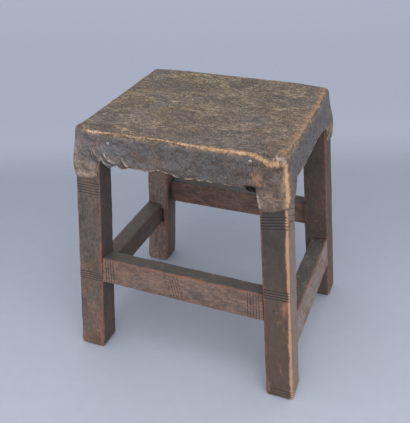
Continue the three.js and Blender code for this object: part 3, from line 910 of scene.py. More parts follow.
    def groove(self, stations: Array, points: Array, normals: Array) -> tuple[Array, Array]:
        """The knife cuts and slits.

        Args:
            stations: Places along the bar.
            points: The section's points there, along outer and top.
            normals: Their outward directions.

        Returns:
            How deep the wood is cut at each point, and how much painted shade the cut gets, from 0 to 1.
        """
        depth = np.zeros(points.shape[:2])
        wander = Relief((0.012, 0.012, 0.012), self.seed + 17, 2)
        for cut in self.cuts:
            facing = cut.face.heading
            sideways = np.array([-facing[1], facing[0]])
            half = self.half(stations)[:, (cut.face + 1) % 2, None]
            across = points @ sideways
            spot = np.stack([across, np.full_like(across, cut.station), np.zeros_like(across)], axis=-1)
            line = cut.station + cut.slope * across + 0.45 * MM * wander.at(spot)
            near = np.clip(1.0 - np.abs(stations[:, None] - line) / (0.5 * cut.width), 0.0, 1.0)
            ends = smooth(cut.reach[0] - 0.08, cut.reach[0] + 0.08, across / half)
            ends = ends * (1.0 - smooth(cut.reach[1] - 0.08, cut.reach[1] + 0.08, across / half))
            seen = smooth(0.45, 0.85, normals @ facing)
            depth = np.maximum(depth, cut.depth * near * ends * seen)
        for slit in self.slits:
            facing = slit.face.heading
            across = points @ np.array([-facing[1], facing[0]])
            wall = 1.0 - smooth(0.3 * slit.width, 0.6 * slit.width, np.abs(across - slit.place))
            ends = smooth(slit.first, slit.first + MM, stations) * smooth(0.0, MM, slit.last - stations)
            depth = np.maximum(depth, slit.depth * wall * ends[:, None] * (normals @ facing > 0.9))
        return depth, np.clip(depth / (0.9 * MM), 0.0, 1.0)

    def skin(self) -> Skin:
        """The whole closed surface of the bar.

        Returns:
            The surface, with each point's place in the grain, nearness to an arris and painted shade of a
            cut.
        """
        stations = self.stations()
        points, normals, near = self.section(stations)
        axis = (self.end - self.start) / self.length
        ahead = np.broadcast_to(stations[:, None, None], points.shape[:2] + (1,))
        where = np.concatenate([points, ahead], axis=-1)
        depth, dark = self.groove(stations, points, normals)
        broad = Relief((0.030, 0.030, 0.055), self.seed, 2).at(where)
        facets = Relief((0.011, 0.011, 0.020), self.seed + 3, 2).at(where)
        dents = np.maximum(Relief((0.006, 0.006, 0.010), self.seed + 9, 2).at(where) - 0.25, 0.0)
        ends = smooth(0.0, 8 * MM, stations) * smooth(0.0, 8 * MM, self.length - stations)
        calm = ends if self.tenon else np.ones_like(ends)
        push = self.hewn * (0.75 * broad + 0.35 * facets) * calm[:, None]
        push = push - (0.9 * MM * near**2 * dents + 0.25 * MM * dents) - depth
        points = points + normals * push[..., None]
        along = (stations[:, None] + self.slide(stations, points))[..., None]
        place = self.start + along * axis + points[..., :1] * self.outer + points[..., 1:] * self.top
        skin = Skin(self.name)
        grain = where + np.array([0.13, 0.29, 0.71]) * self.seed
        # How much painted shade, with some soot, a face gets for looking towards the stool's middle
        inner = np.clip(normals @ np.array(self.inwards), 0.0, 1.0)
        bare = self.bare * smooth(0.5, 1.0, normals[..., 0])
        rings = skin.add_points(place, grain=grain, edge=near, groove=dark, inner=inner, bare=bare)
        skin.add_grid(rings, closed=True)
        self.close(skin, rings[0], place[0], grain[0], inward=axis, first=True)
        self.close(skin, rings[-1], place[-1], grain[-1], inward=-axis, first=False)
        return skin

    def slide(self, stations: Array, points: Array) -> Array:
        """How far each point runs on along the bar, so that the ends meet their legs' leaning faces."""
        share = (stations / self.length)[:, None]
        first, last = (points[..., 1] * up + points[..., 0] * out for up, out in self.slant)
        return last * share - first * (1.0 - share)

    def close(self, skin: Skin, ring: Array, place: Array, grain: Array, inward: Array, first: bool) -> None:
        """Closes an end with its shoulder and tenon, or with a flat cap.

        Args:
            skin: The surface so far.
            ring: The numbers of the end ring's points.
            place: Their places.
            grain: Their places in the grain.
            inward: The direction into the bar.
            first: Whether this is the bar's first end.
        """
        # The ends get full painted shade, with some soot, and no wear
        blank = {"edge": 0.0, "groove": 0.0, "inner": 1.0, "bare": 0.0}
        middle = place.mean(axis=0)
        outline, loops = place, []
        if self.tenon:
            wide, high, reach = self.tenon
            flat = place - middle
            across = (flat @ self.outer * wide / self.size[0])[:, None] * self.outer
            upright = (flat @ self.top * high / self.size[1])[:, None] * self.top
            root = middle + across + upright
            root = root + ((place - root) @ inward)[:, None] * inward
            outline = middle + across + upright - reach * inward
            loops = [root, outline]
            middle = outline.mean(axis=0)
        loops += [middle + (outline - middle) * share for share in (0.7, 0.4, 0.15)]
        for loop in loops:
            numbers = skin.add_points(loop, grain=grain, **blank)
            skin.add_grid(np.stack([ring, numbers]), closed=True, flip=first)
            ring = numbers
        centre = skin.add_points(middle[None], grain=grain.mean(axis=0)[None], **blank)
        skin.add_fan(ring, int(centre[0]), flip=first)


@dataclass(frozen=True)
class LegLine:
    """The leaning, tapering stick of a leg, read from the frame.

    Attributes:
        side: On which side of the stool it stands, along X and Y.
        foot: How far its outer faces stand from the stool's middle at the floor, along X and Y.
        lean: How far they come in for each metre up.
    """

    node: str
    side: Array
    foot: Array
    lean: Array

    FOOT_SIZE = np.array([38.5 * MM, 38 * MM])
    TAPER = np.array([3.5, 4.0]) / 360

    @classmethod
    def read(cls, node: str) -> "LegLine":
        """Reads a leg's outer faces, which no point of its node lies outside.

        Args:
            node: The leg's node.

        Returns:
            The leg's line.
        """
        points = corners(node)
        side = np.sign(points[:, :2].mean(axis=0))
        out = points[:, :2] * side
        widest = out.argmax(axis=0)
        reach, low = out[widest, (0, 1)], points[widest, 2]
        above = points[:, 2] > 100 * MM
        lean = ((reach - out[above]) / (points[above, 2:] - low)).min(axis=0)
        return cls(node, side, reach + lean * low, lean)

    def size(self, height: Array) -> Array:
        """The section at some heights, along X and Y."""
        return self.FOOT_SIZE - self.TAPER * np.asarray(height)[..., None]

    def outer(self, height: Array) -> Array:
        """The sharp outer arris at some heights, along X and Y."""
        return self.side * (self.foot - self.lean * np.asarray(height)[..., None])

    def point(self, height: float) -> Array:
        """The middle of the section at one height, in space."""
        return np.array([*(self.outer(height) - self.side * self.size(height) / 2), height])


@dataclass(frozen=True)
class RailLine:
    """A stretcher's directions, ends and section, read from its node.

    Attributes:
        ends: The middles of its two tenon ends.
    """

    node: str
    ends: tuple[Array, Array]
    outer: Array
    top: Array
    size: Pair

    @classmethod
    def read(cls, node: str) -> "RailLine":
        """Reads a stretcher, so that outer, top and the way from end to end are a right hand.

        Args:
            node: The stretcher's node.

        Returns:
            Its frame.
        """
        points = corners(node)
        long = int(np.argmax(np.ptp(points, axis=0)[:2]))
        outside = np.zeros(3)
        outside[1 - long] = np.sign(points[:, 1 - long].mean())
        limits = (points[:, long].min(), points[:, long].max())
        tips = [points[np.abs(points[:, long] - limit) < 2 * MM] for limit in limits]
        ends = [(tip.min(axis=0) + tip.max(axis=0)) / 2 for tip in tips]
        axis = (ends[1] - ends[0]) / np.linalg.norm(ends[1] - ends[0])
        tall = tips[0] - ends[0]
        tall = tall - np.outer(tall @ axis, axis)
        top = np.linalg.svd(tall - tall.mean(axis=0))[2][0]
        top = top * np.sign(top[2])
        outer = np.cross(top, axis)
        if outer @ outside < 0:
            ends, axis, outer = ends[::-1], -axis, -outer
        flat = points - ends[0]
        size = (float(np.ptp(flat @ outer)), float(np.ptp(flat @ top)))
        return cls(node, (ends[0], ends[1]), outer, top, size)


@dataclass
class Frame:
    """The hewn frame: four legs and four stretchers, tenoned into each other.

    Attributes:
        legs: The legs' lines, in the order of a walk round the stool from the front left one.
        ceiling: The hide, under which the legs end.
        tenon: A stretcher's tenon, its thickness and how far it reaches into a leg.
        tenon_shoulder: How far the tenon stays from the stretcher's upper and under faces.
        shoulder_gap: The air between a shoulder and its leg.
    """

    legs: list[LegLine]
    ceiling: "HideCover"
    wood: dict[str, HewnWood]
    tenon: Pair = (12 * MM, 22 * MM)
    tenon_shoulder: float = 4 * MM
    shoulder_gap: float = 0.7 * MM
    cut_pitch: float = 4 * MM

    LEG_SPANS = {"leg_front_right": 22, "leg_rear_left": 30}
    LEG_SLITS = {"leg_rear_left": [Slit(Face.FRONT, 8.8 * MM, 86 * MM, 117 * MM)]}

    def rows(self, face: Face, lowest: float, count: int, slope: float = 0.0, **shape: object) -> list[Cut]:
        """A group of equal cuts, one above another from the lowest station."""
        return [Cut(face, lowest + i * self.cut_pitch, slope, **shape) for i in range(count)]

    def zigzag(self, face: Face, lowest: float, highest: float, turns: int) -> list[Cut]:
        """Crossed slanting cuts on a face.

        Args:
            face: The face.
            lowest: The station where they start.
            highest: The station where they end.
            turns: How many crosses there are.

        Returns:
            The cuts.
        """
        tall = (highest - lowest) / turns
        steep = 2 * tall / (0.9 * LegLine.FOOT_SIZE[1])
        thin = {"width": 1.5 * MM, "depth": 0.7 * MM, "reach": (-0.75, 0.75)}
        middles = [lowest + (i + 0.5) * tall for i in range(turns)]
        return [Cut(face, middle, sign * steep, **thin) for middle in middles for sign in (1, -1)]

    def leg_cuts(self) -> dict[str, list[Cut]]:
        """The knife cuts of the legs.

        Returns:
            Each leg's cuts, by its node.
        """
        wide, tight = {"slope": 0.17, "width": 2.0 * MM}, {"width": 1.8 * MM}
        return {
            "leg_front_left": self.rows(Face.FRONT, 265.5 * MM, 5, -0.02, **tight)
            + self.rows(Face.FRONT, 124 * MM, 4, 0.01, **tight)
            + self.zigzag(Face.FRONT, 233 * MM, 262 * MM, 2)[:3],
            "leg_front_right": self.rows(Face.FRONT, 263.5 * MM, 5, **wide)
            + self.rows(Face.RIGHT, 266.5 * MM, 2, 0.1)
            + self.zigzag(Face.RIGHT, 264 * MM, 290 * MM, 3)
            + self.rows(Face.FRONT, 161.5 * MM, 4, 0.05)
            + self.rows(Face.FRONT, 5 * MM, 3, 0.05, reach=(-0.6, 1.3)),
            "leg_rear_left": self.rows(Face.FRONT, 131 * MM, 3, depth=0.8 * MM),
            "leg_rear_right": self.rows(Face.FRONT, 122 * MM, 3, depth=0.8 * MM),
        }

    def leg(self, line: LegLine, seed: int) -> Bar:
        """One leg, from the floor to the hide's underside.

        Args:
            line: Its line.
            seed: Picks its random relief.

        Returns:
            The leg.
        """
        bleached = line.node == "leg_front_right"
        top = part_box(line.node)[1].z
        return Bar(
            name=line.node.replace("leg_", "hewn_leg_"), seed=seed,
            start=line.point(0.0), end=line.point(top),
            outer=np.array([1.0, 0.0, 0.0]), top=np.array([0.0, 1.0, 0.0]),
            size=tuple(line.size(0.0)), last_size=tuple(line.size(top)),
            cuts=self.leg_cuts()[line.node], slits=self.LEG_SLITS.get(line.node, []),
            across=self.LEG_SPANS.get(line.node, 14), foot_wear=3.2 * MM,
            # Painted shade, with some soot, on the faces that look into the stool
            inwards=(-line.side[0], max(-line.side[1], 0.0)),
            wear=(0.7, 0.5, 0.8, 1.55 if bleached else 0.80), bare=0.8 if bleached else 0.0,
        )

    def stretcher_cuts(self, node: str, length: float) -> list[Cut]:
        """The knife cuts of a stretcher.

        Args:
            node: Its node.
            length: Its length between shoulders.

        Returns:
            The cuts, measured from the bar's first end, which is the right one seen from outside.
        """
        first = 5 * MM
        upright = {"width": 1.7 * MM, "depth": 1.0 * MM}
        short = {"reach": (-0.95, 0.9), "width": 1.7 * MM, "depth": 0.9 * MM}
        if node == "stretcher_rear":
            return []
        if node == "stretcher_front":
            last = length - first - 3 * self.cut_pitch
            middle = 0.5 * length + 4 * MM - self.cut_pitch
            return (
                self.rows(Face.OUTSIDE, first, 5, **upright)
                + self.rows(Face.OUTSIDE, last, 4, 0.06, **upright)
                + self.rows(Face.OUTSIDE, middle, 4, 0.24, **short)
            )
        starts = (first, length - 14 * MM)
        return [cut for start in starts for cut in self.rows(Face.OUTSIDE, start, 3, **upright)]

    def shoulder(self, line: RailLine, end: int, leg: LegLine) -> tuple[Array, Pair]:
        """Where a stretcher's shoulder meets its leg's leaning face.

        Args:
            line: The stretcher.
            end: 0 or 1, for its first or last end.
            leg: The leg at that end.

        Returns:
            The shoulder's middle, and how far it runs on for each metre towards the top and the outer face.
        """
        axis = (line.ends[1] - line.ends[0]) / np.linalg.norm(line.ends[1] - line.ends[0])
        along = int(np.argmax(np.abs(axis[:2])))
        outwards = axis if end else -axis
        normal = np.zeros(3)
        normal[along] = 1.0
        normal[2] = leg.side[along] * (leg.lean[along] - leg.TAPER[along])
        face = np.zeros(3)
        face[along] = leg.side[along] * (leg.foot[along] - leg.FOOT_SIZE[along] - self.shoulder_gap)
        share = (face - line.ends[0]) @ normal / (axis @ normal)
        top_run, outer_run = (-(way @ normal) / (outwards @ normal) for way in (line.top, line.outer))
        return line.ends[0] + share * axis, (top_run, outer_run)

    def stretcher(self, line: RailLine, seed: int) -> Bar:
        """One stretcher, from shoulder to shoulder, with its tenons.

        Args:
            line: The stretcher's frame.
            seed: Picks its random relief.

        Returns:
            The stretcher.
        """
        meets = []
        for i, end in enumerate(line.ends):
            nearest = min(self.legs, key=lambda leg: np.linalg.norm(leg.point(end[2]) - end))
            meets.append(self.shoulder(line, i, nearest))
        length = float(np.linalg.norm(meets[1][0] - meets[0][0]))
        wide, reach = self.tenon
        return Bar(
            name=line.node.replace("stretcher_", "hewn_stretcher_"), seed=seed,
            start=meets[0][0], end=meets[1][0], slant=(meets[0][1], meets[1][1]),
            outer=line.outer, top=line.top, size=line.size, arris=2.4 * MM,
            cuts=self.stretcher_cuts(line.node, length),
            tenon=(wide, line.size[1] - 2 * self.tenon_shoulder, reach),
            # Painted shade, with some soot, on the underside and, but for the rear one, the inner face
            inwards=(0.0 if line.node == "stretcher_rear" else -1.0, -0.6), wear=(0.75, 0.5, 0.5, 0.85),
        )

    def build(self) -> None:
        """Makes the legs and the stretchers, each with its own finish."""
        for i, line in enumerate(self.legs):
            skin = self.leg(line, seed=11 + i).skin()
            self.trim(skin, i)
            finish = self.wood[line.node].build(line.node.replace("leg_", "leg_wood_"))
            settle(skin.build(finish), Slot.FRAME_WOOD, line.node)
        for i, node in enumerate(["stretcher_front", "stretcher_right", "stretcher_rear", "stretcher_left"]):
            bar = self.stretcher(RailLine.read(node), seed=31 + i)
            finish = self.wood[node].build(node.replace("stretcher_", "stretcher_wood_"))
            settle(bar.skin().build(finish), Slot.FRAME_WOOD, node)

    def trim(self, skin: Skin, number: int, start: float = 330 * MM) -> None:
        """Rounds the head of a leg inwards and lowers its top, so that it lies under the hide.

        Args:
            skin: The leg's surface.
            number: The leg's number.
            start: The height above which its points come down.
        """
        line = self.legs[number]
        top = max(block[:, 2].max() for block in skin.points)
        for block in skin.points:
            height = block[:, 2]
            depth = line.side * (line.outer(height) - block[:, :2]) / line.size(height)
            eased = self.ceiling.ease(number, height)[:, None] * np.clip(1.0 - depth, 0.0, 1.0)
            block[:, :2] -= line.side * eased
            room = self.ceiling.underside(block[:, 0], block[:, 1]) - start
            share = np.maximum(height - start, 0.0) / (top - start)
            block[:, 2] = np.minimum(height, start) + share * room


# Rawhide


@dataclass(frozen=True)
class Crease:
    """A curled lip where dried hide folds over itself, along a line on the front flap.

    Attributes:
        path: Its line as places along X and Z, in millimetres.
    """

    path: tuple[Pair, ...]
    height: float

    def lip(self, across: Array, height: Array) -> tuple[Array, Array, Array]:
        """The lip's relief.

        Args:
            across: The points' X.
            height: Their Z.

        Returns:
            How far it stands up at each point, how near each is to its sharp edge, and how much painted shade
            lies below it, the last two from 0 to 1.
        """
        spots = np.stack([across, height], axis=-1)
        best = away = np.full(across.shape, 1.0)
        fade = np.zeros(across.shape)
        knots = np.array(self.path) * MM
        for i, (a, b) in enumerate(zip(knots[:-1], knots[1:])):
            run = b - a
            share = np.clip(((spots - a) @ run) / (run @ run), 0.0, 1.0)
            gap = spots - a - share[..., None] * run
            far = np.linalg.norm(gap, axis=-1)
            side = np.sign(gap[..., 1] * run[0] - gap[..., 0] * run[1])
            nearer = far < best
            best = np.where(nearer, far, best)
            away = np.where(nearer, far * side, away)
            along = (i + share) / (len(knots) - 1)
            fade = np.where(nearer, smooth(0.0, 0.2, along) * (1.0 - smooth(0.85, 1.0, along)), fade)
        raised = self.height * np.where(away > 0, hump(away, 6.0 * MM), hump(away, 1.6 * MM))
        sharp, shade = hump(away - 0.6 * MM, 1.9 * MM), hump(away + 3 * MM, 2.2 * MM)
        return raised * fade, sharp * fade, shade * fade


@dataclass
class HideCover:
    """The rawhide: one closed shell over the seat, its four flaps and the four sleeves on the legs' heads.

    Attributes:
        legs: The legs' lines, in the order of a walk round the stool.
        sag_half: From the seat's middle to where it no longer sags, along X and Y.
        slack: The air between the hide and the legs' outer faces.
        sleeve: How far the hide on a leg reaches from the corner.
        halo: How far the warm colour reaches beside an arris.
        spans: How many columns the front and rear, and the two sides, have.
        step_weight: How strongly steep parts of the lower edge draw columns to them.
    """

    legs: list[LegLine]
    seat_height: float = 360 * MM
    rear_rise: float = 4.7 * MM
    tops_depth: float = 234 * MM
    sag_half: Pair = (141.5 * MM, 120 * MM)
    thickness: float = 3 * MM
    slack: float = 0.5 * MM
    headroom: float = 0.9 * MM
    corner_radius: float = 9 * MM
    edge_radius: float = 8 * MM
    dish: float = 8 * MM
    edge_sag: float = 3.5 * MM
    rear_edge_sag: float = 0.7 * MM
    flap_recess: float = 1.2 * MM
    sleeve: float = 38 * MM
    halo: float = 6 * MM
    spans: tuple[int, int] = (160, 136)
    edge_rows: int = 11
    flap_rows: int = 36
    step_weight: float = 0.5

    PLAIN = dict.fromkeys(("ridge", "halo", "rim", "fold", "grip", "stain"), 0.0)

    # How far each leg's head is rounded inwards and the seat sinks there, and the X, width, depth and first
    # Y of a hollow by the seat's front edge
    HEAD_EASE = (2.2 * MM, 0.8 * MM, 3.6 * MM, 0.8 * MM)
    HEAD_DROP = (-1.2 * MM, 0.0, 1.4 * MM, 2.2 * MM)
    HOLLOW = (-62 * MM, 42 * MM, 0.9 * MM, -80 * MM)

    # For the front, right, rear and left side: how worn its ridge is, how strongly that tints the hide beside
    # it, how much painted shade its rounding gets, and how far the tint reaches inwards and outwards. Then,
    # for the arris at each side's first corner, its wear and how strongly that tints the seat. Last a chalky
    # patch on the seat, a warm patch on the front flap, and the patch of painted shade in the notch beside
    # it, where the hide is also pressed in a little, with its half size
    SIDE_LINE = (1.0, 0.50, 0.0, 0.0)
    SIDE_HALO = (0.75, 1.1, 0.20, 0.25)
    SIDE_SHADE = (0.0, 0.0, 0.34, 0.30)
    SIDE_REACH = ((5 * MM, 6 * MM), (9 * MM, 2.5 * MM), (5 * MM, 5 * MM), (5 * MM, 5 * MM))
    CORNER_WEAR = (0.6, 1.25, 0.5, 0.5)
    CORNER_HALO = (0.7, 0.75, 0.4, 0.3)
    CHALK = (130 * MM, -116.5 * MM)
    BLUSH = (104 * MM, -122 * MM, 328 * MM)
    NOTCH_SHADE = ((96.5 * MM, 311.5 * MM), (8 * MM, 4.5 * MM))

    # The lower edge of each side, in millimetres: places along X or Y from corner to corner, and heights
    FRONT_EDGE = (
        (-147.4, 291), (-140, 288.5), (-131.9, 288.5), (-124, 290), (-114.6, 292), (-113, 300),
        (-112.2, 306), (-111, 311.5), (-108, 315), (-105, 318.5), (-102.5, 313.5), (-97, 309), (-92, 309.5),
        (-88, 312.5), (-83, 313.5), (-78, 311.5), (-73, 311), (-66, 313.5), (-59, 313), (-48, 312),
        (-37, 313), (-28, 316.5), (-20, 316), (-12, 314), (-7, 314), (-2, 311.5), (5, 312), (14, 311),
        (24, 313.5), (32, 312.5), (39, 314), (50, 312.5), (60, 313), (68, 312), (74, 312.5), (80, 311.5),
        (86, 312), (89, 312.5), (91.5, 310.5), (94, 309.5), (97, 307.8), (100, 308.5), (102.6, 307.5),
        (104, 303), (105.8, 297), (107.6, 291), (109.2, 284.5), (115, 283.5), (122, 286), (130, 287.5),
        (137, 291), (143.6, 292.5),
    )
    RIGHT_EDGE = (
        (-125.5, 292.5), (-118, 291), (-108, 294), (-98, 293.5), (-91, 296), (-88.5, 304), (-87.5, 312),
        (-84, 316.5), (-77, 316.5), (-65, 314), (-54, 316), (-41, 314.5), (-33, 314), (-22, 317),
        (-10, 315.5), (-2, 316), (9, 318.5), (18, 317.5), (30, 320.5), (43, 318.5), (57, 319), (68, 316),
        (76, 316), (82, 314), (86, 309), (87.5, 300), (88.5, 291), (96, 288), (106, 287.5), (114, 285.5),
        (122.3, 287),
    )
    REAR_EDGE = (
        (143.5, 287), (134, 286), (124, 289.5), (114, 288.5), (108.5, 293), (107, 303), (105.5, 311),
        (100, 314.5), (88, 313), (72, 316), (58, 314.5), (40, 311.5), (22, 313), (6, 316.5), (-12, 315),
        (-30, 312.5), (-46, 314), (-60, 317), (-74, 314.5), (-90, 312), (-98, 313.5), (-104, 314),
        (-107, 306), (-109, 296), (-114, 290.5), (-126, 288), (-135, 290), (-142.6, 289),
    )
    LEFT_EDGE = (
        (122, 289), (112, 288), (100, 291.5), (92, 290), (88.5, 295), (87, 306), (84, 313.5), (76, 316),
        (62, 314.5), (46, 317), (30, 318.5), (12, 316), (-4, 314.5), (-20, 317), (-38, 319), (-52, 316.5),
        (-66, 314.5), (-78, 317), (-86, 315), (-89.5, 308), (-90.5, 298), (-96, 292), (-108, 290.5),
        (-118, 293), (-126.5, 291),
    )
    CREASES = (
        Crease(((-124, 338.5), (-118.6, 328.8), (-114.3, 321.4), (-109.3, 318), (-103.6, 316.8), (-97, 313.5),
                (-89, 312.5)), 2.2 * MM),
        Crease(((-117.5, 335), (-112.5, 327), (-107.5, 321.5), (-100.5, 318.5)), 1.5 * MM),
        Crease(((-104.5, 333), (-99.8, 326), (-96.3, 321), (-91, 318.2), (-84, 316)), 2.2 * MM),
        Crease(((-76.5, 329), (-73.4, 322), (-71, 317.2), (-65, 314.5)), 2.0 * MM),
        Crease(((104.8, 312), (106.3, 305), (108.3, 296), (109.5, 286)), 0.9 * MM),
    )

    def level(self, y: Array) -> Array:
        """The height of the seat's corners, which are higher over the rear legs."""
        return self.seat_height + self.rear_rise * (y / self.tops_depth + 0.5)

    def sag(self, x: Array, y: Array) -> Array:
        """How far the seat lies below its corners.

        Args:
            x: The points' X.
            y: Their Y.

        Returns:
            The drop at each point.
        """
        u, v = (np.minimum(1.0, np.abs(at) / half) for at, half in zip((x, y), self.sag_half))
        across = np.where(y > 0, self.rear_edge_sag, self.edge_sag)
        edges = across * (1 - u**4) * v * v + self.edge_sag * (1 - v**4) * u * u
        place, width, depth, start = self.HOLLOW
        hollow = depth * hump(x - place, width) * smooth(0.0, start, y)
        sag = edges + self.dish * (1 - u * u) * (1 - v * v) + hollow
        for leg, drop in zip(self.legs, self.HEAD_DROP):
            head = leg.outer(self.seat_height)
            sag = sag + drop * hump(np.hypot(x - head[0], y - head[1]), 26 * MM)
        return sag

    def underside(self, x: Array, y: Array) -> Array:
        """The height of the hide's underside over points in plan, with a little air."""
        return self.level(y) - self.thickness - self.headroom - self.sag(x, y)

    def seat(self, x: Array, y: Array) -> Array:
        """The height of the seat's uneven surface over points in plan.

        Args:
            x: The points' X.
            y: Their Y.

        Returns:
            The height at each point.
        """
        spots = np.stack([x, y, np.zeros_like(x)], axis=-1)
        broad = Relief((0.055, 0.045, 1.0), 51, 2).at(spots)
        wrinkles = Relief((0.017, 0.0065, 1.0), 52, 2).at(spots)
        lumps = Relief((0.010, 0.010, 1.0), 53, 2).at(spots)
        inner = smooth(0.0, 20 * MM, 138 * MM - np.abs(x)) * smooth(0.0, 20 * MM, 116 * MM - np.abs(y))
        rough = (0.65 * broad * (0.45 + 0.55 * inner) + 0.32 * wrinkles + 0.34 * lumps) * MM
        return self.level(y) - self.sag(x, y) + rough

    def corner(self, number: int, height: Array) -> Array:
        """The sharp outer corner of the hide over a leg, at some heights, along X and Y."""
        leg = self.legs[number % 4]
        return leg.outer(height) + leg.side * (self.slack + self.thickness)

    def ease(self, number: int, height: Array) -> Array:
        """How far the head of a leg, with its hide, is rounded inwards at some heights."""
        return self.HEAD_EASE[number % 4] * smooth(308 * MM, 358 * MM, height)

    def run(self, side: int) -> float:
        """The length of a side at the seat."""
        top = np.array(self.seat_height)
        return float(np.linalg.norm(self.corner(side + 1, top) - self.corner(side, top)))

    def wall(self, side: int, place: Array, height: Array) -> tuple[Array, Array]:
        """A side's wall.

        Args:
            side: 0 the front, 1 the right, 2 the rear, 3 the left.
            place: The distance from the side's first corner, at the seat.
            height: The heights.

        Returns:
            The points from which the round corner is drawn and the outward directions, along X and Y.
        """
        first, last = self.corner(side, height), self.corner(side + 1, height)
        span = np.linalg.norm(last - first, axis=-1)
        along = (last - first) / span[..., None]
        out = np.stack([along[..., 1], -along[..., 0]], axis=-1)
        full, grip = self.run(side), self.sleeve + 6 * MM
        stretched = grip + (place - grip) * (span - 2 * grip) / (full - 2 * grip)
        far = np.where(place < grip, place, np.where(place > full - grip, span - full + place, stretched))
        radius = self.corner_radius
        centre = np.clip(far, radius, span - radius)
        left = np.clip(1.0 - far / radius, 0.0, 1.0)
        right = np.clip(1.0 - (span - far) / radius, 0.0, 1.0)
        bend = (right - left) * math.pi / 4
        normal = out * np.cos(bend)[..., None] + along * np.sin(bend)[..., None]
        root = first + along * centre[..., None] - out * radius
        for number, away in ((side, far), (side + 1, span - far)):
            eased = self.ease(number, height) * hump(away, 45 * MM)
            root = root - eased[..., None] * self.legs[number % 4].side
        return root, normal

    def lower_edge(self, side: int) -> tuple[Array, Array]:
        """The torn lower edge of a side.

        Args:
            side: The side.

        Returns:
            For each column, but the next corner's, its place along the side and its height.
        """
        outline = (self.FRONT_EDGE, self.RIGHT_EDGE, self.REAR_EDGE, self.LEFT_EDGE)[side]
        knots = np.array(outline) * MM
        axis, way = (0, 1, 0, 1)[side], (1, 1, -1, -1)[side]
        first = self.corner(side, knots[:, 1])[:, axis]
        last = self.corner(side + 1, knots[:, 1])[:, axis]
        near, far = (knots[:, 0] - first) * way, (last - knots[:, 0]) * way
        full, grip = self.run(side), self.sleeve + 6 * MM
        between = grip + (near - grip) * (full - 2 * grip) / (near + far - 2 * grip)
        place = np.where(near < grip, near, np.where(far < grip, full - far, between))
        place[0], place[-1] = 0.0, full
        share = np.linspace(0.0, 1.0, 12 * len(knots))
        marks = np.linspace(0.0, 1.0, len(knots))
        place, height = np.interp(share, marks, place), np.interp(share, marks, knots[:, 1])
        spots = np.stack([place, height, np.full_like(place, side)], axis=-1)
        calm = smooth(0.0, 6 * MM, place) * smooth(0.0, 6 * MM, full - place)
        height = height + 0.75 * MM * Relief((0.0045, 0.0045, 1.0), 61, 2).at(spots) * calm
        place = place + 0.5 * MM * Relief((0.0045, 0.0045, 1.0), 62, 2).at(spots) * calm
        steps = np.hypot(np.diff(place), self.step_weight * np.diff(height))
        walked = np.concatenate([[0.0], np.cumsum(steps)])
        wanted = np.linspace(0.0, walked[-1], self.spans[side % 2] + 1)[:-1]
        return np.interp(wanted, walked, place), np.interp(wanted, walked, height)

    def unevenness(self, side: int, place: Array, height: Array, spots: Array,
                   gap: Array) -> tuple[Array, ...]:
        """The relief of a wall.

        Args:
            side: The side.
            place: The distances from its first corner.
            height: The heights.
            spots: The points in space.
            gap: How far each is above the lower edge.

        Returns:
            How far the outer and inner face stand out, how near each point is to a crease, and how much
            painted shade it gets.
        """
        end = np.minimum(place, self.run(side) - place)
        flap = smooth(self.sleeve - 3 * MM, self.sleeve + 9 * MM, end)
        broad = Relief((0.045, 0.045, 0.040), 71, 2).at(spots)
        puckers = Relief((0.015, 0.015, 0.045), 72, 2).at(spots)
        fine = Relief((0.0065, 0.0065, 0.0075), 73, 2).at(spots)
        curl = np.maximum(Relief((0.022, 0.022, 1.0), 74, 2).at(spots * (1, 1, 0)) + 0.15, 0.0)
        loose = 1.1 * MM * hump(height - 312 * MM, 16 * MM) * (1 - flap)
        tuck = 1.5 * MM * np.exp(-gap / (5 * MM)) * (1 - flap)
        base = -self.flap_recess * flap + 0.9 * MM * broad * (0.35 + 0.65 * flap)
        flare = 2.2 * MM * curl * np.exp(-gap / (5 * MM)) * flap
        outer = base + (0.85 * puckers * (0.25 + 0.75 * flap) + 0.42 * fine) * MM + loose - tuck + flare
        # stain holds painted shade: below the creases' lips and in the notch
        near, stain = np.zeros_like(outer), np.zeros_like(outer)
        if side == 0:
            # Each crease's lip stands up, with painted shade below it
            for crease in self.CREASES:
                raised, sharp, shade = crease.lip(spots[..., 0], spots[..., 2])
                outer = outer + raised
                near = np.maximum(near, sharp)
                stain = np.maximum(stain, 0.4 * shade)
            # Painted shade in the notch by the front right leg, where the hide is also pressed in a little
            notch_distance = np.abs(spots[..., (0, 2)] - np.array(self.NOTCH_SHADE[0])) / np.array(self.NOTCH_SHADE[1])
            torn = 1.0 - smooth(0.7, 1.1, np.max(notch_distance, axis=-1))
            stain = np.maximum(stain, torn)
            outer = outer - 1.6 * MM * torn
        inner = base + flare + np.maximum(loose - 0.4 * MM, 0.0)
        return outer, np.maximum(inner, -self.flap_recess - 0.4 * MM), near, stain

    def rounding(self, side: int, place: Array, inset: float, rows: int) -> tuple[Array, Array]:
        """The rounding from the seat over to a wall.

        Args:
            side: The side.
            place: The columns' distances from its first corner.
            inset: How far the skin lies inside the outer one.
            rows: How many rows it has.

        Returns:
            Its points, one row after another from the seat outwards, and the height at which the wall starts.
        """
        high = np.full_like(place, self.seat_height - self.edge_radius)
        root, normal = self.wall(side, place, high)
        inner = root + normal * (self.corner_radius - self.edge_radius)
        start = self.seat(inner[:, 0], inner[:, 1]) - self.edge_radius
        root, normal = self.wall(side, place, start)
        centre = root + normal * (self.corner_radius - self.edge_radius)
        bend = np.linspace(0.0, math.pi / 2, rows)[:, None]
        radius = self.edge_radius - inset
        plan = centre[None] + normal[None] * (radius * np.sin(bend))[..., None]
        height = start[None] + radius * np.cos(bend)
        return np.concatenate([plan, height[..., None]], axis=-1), start

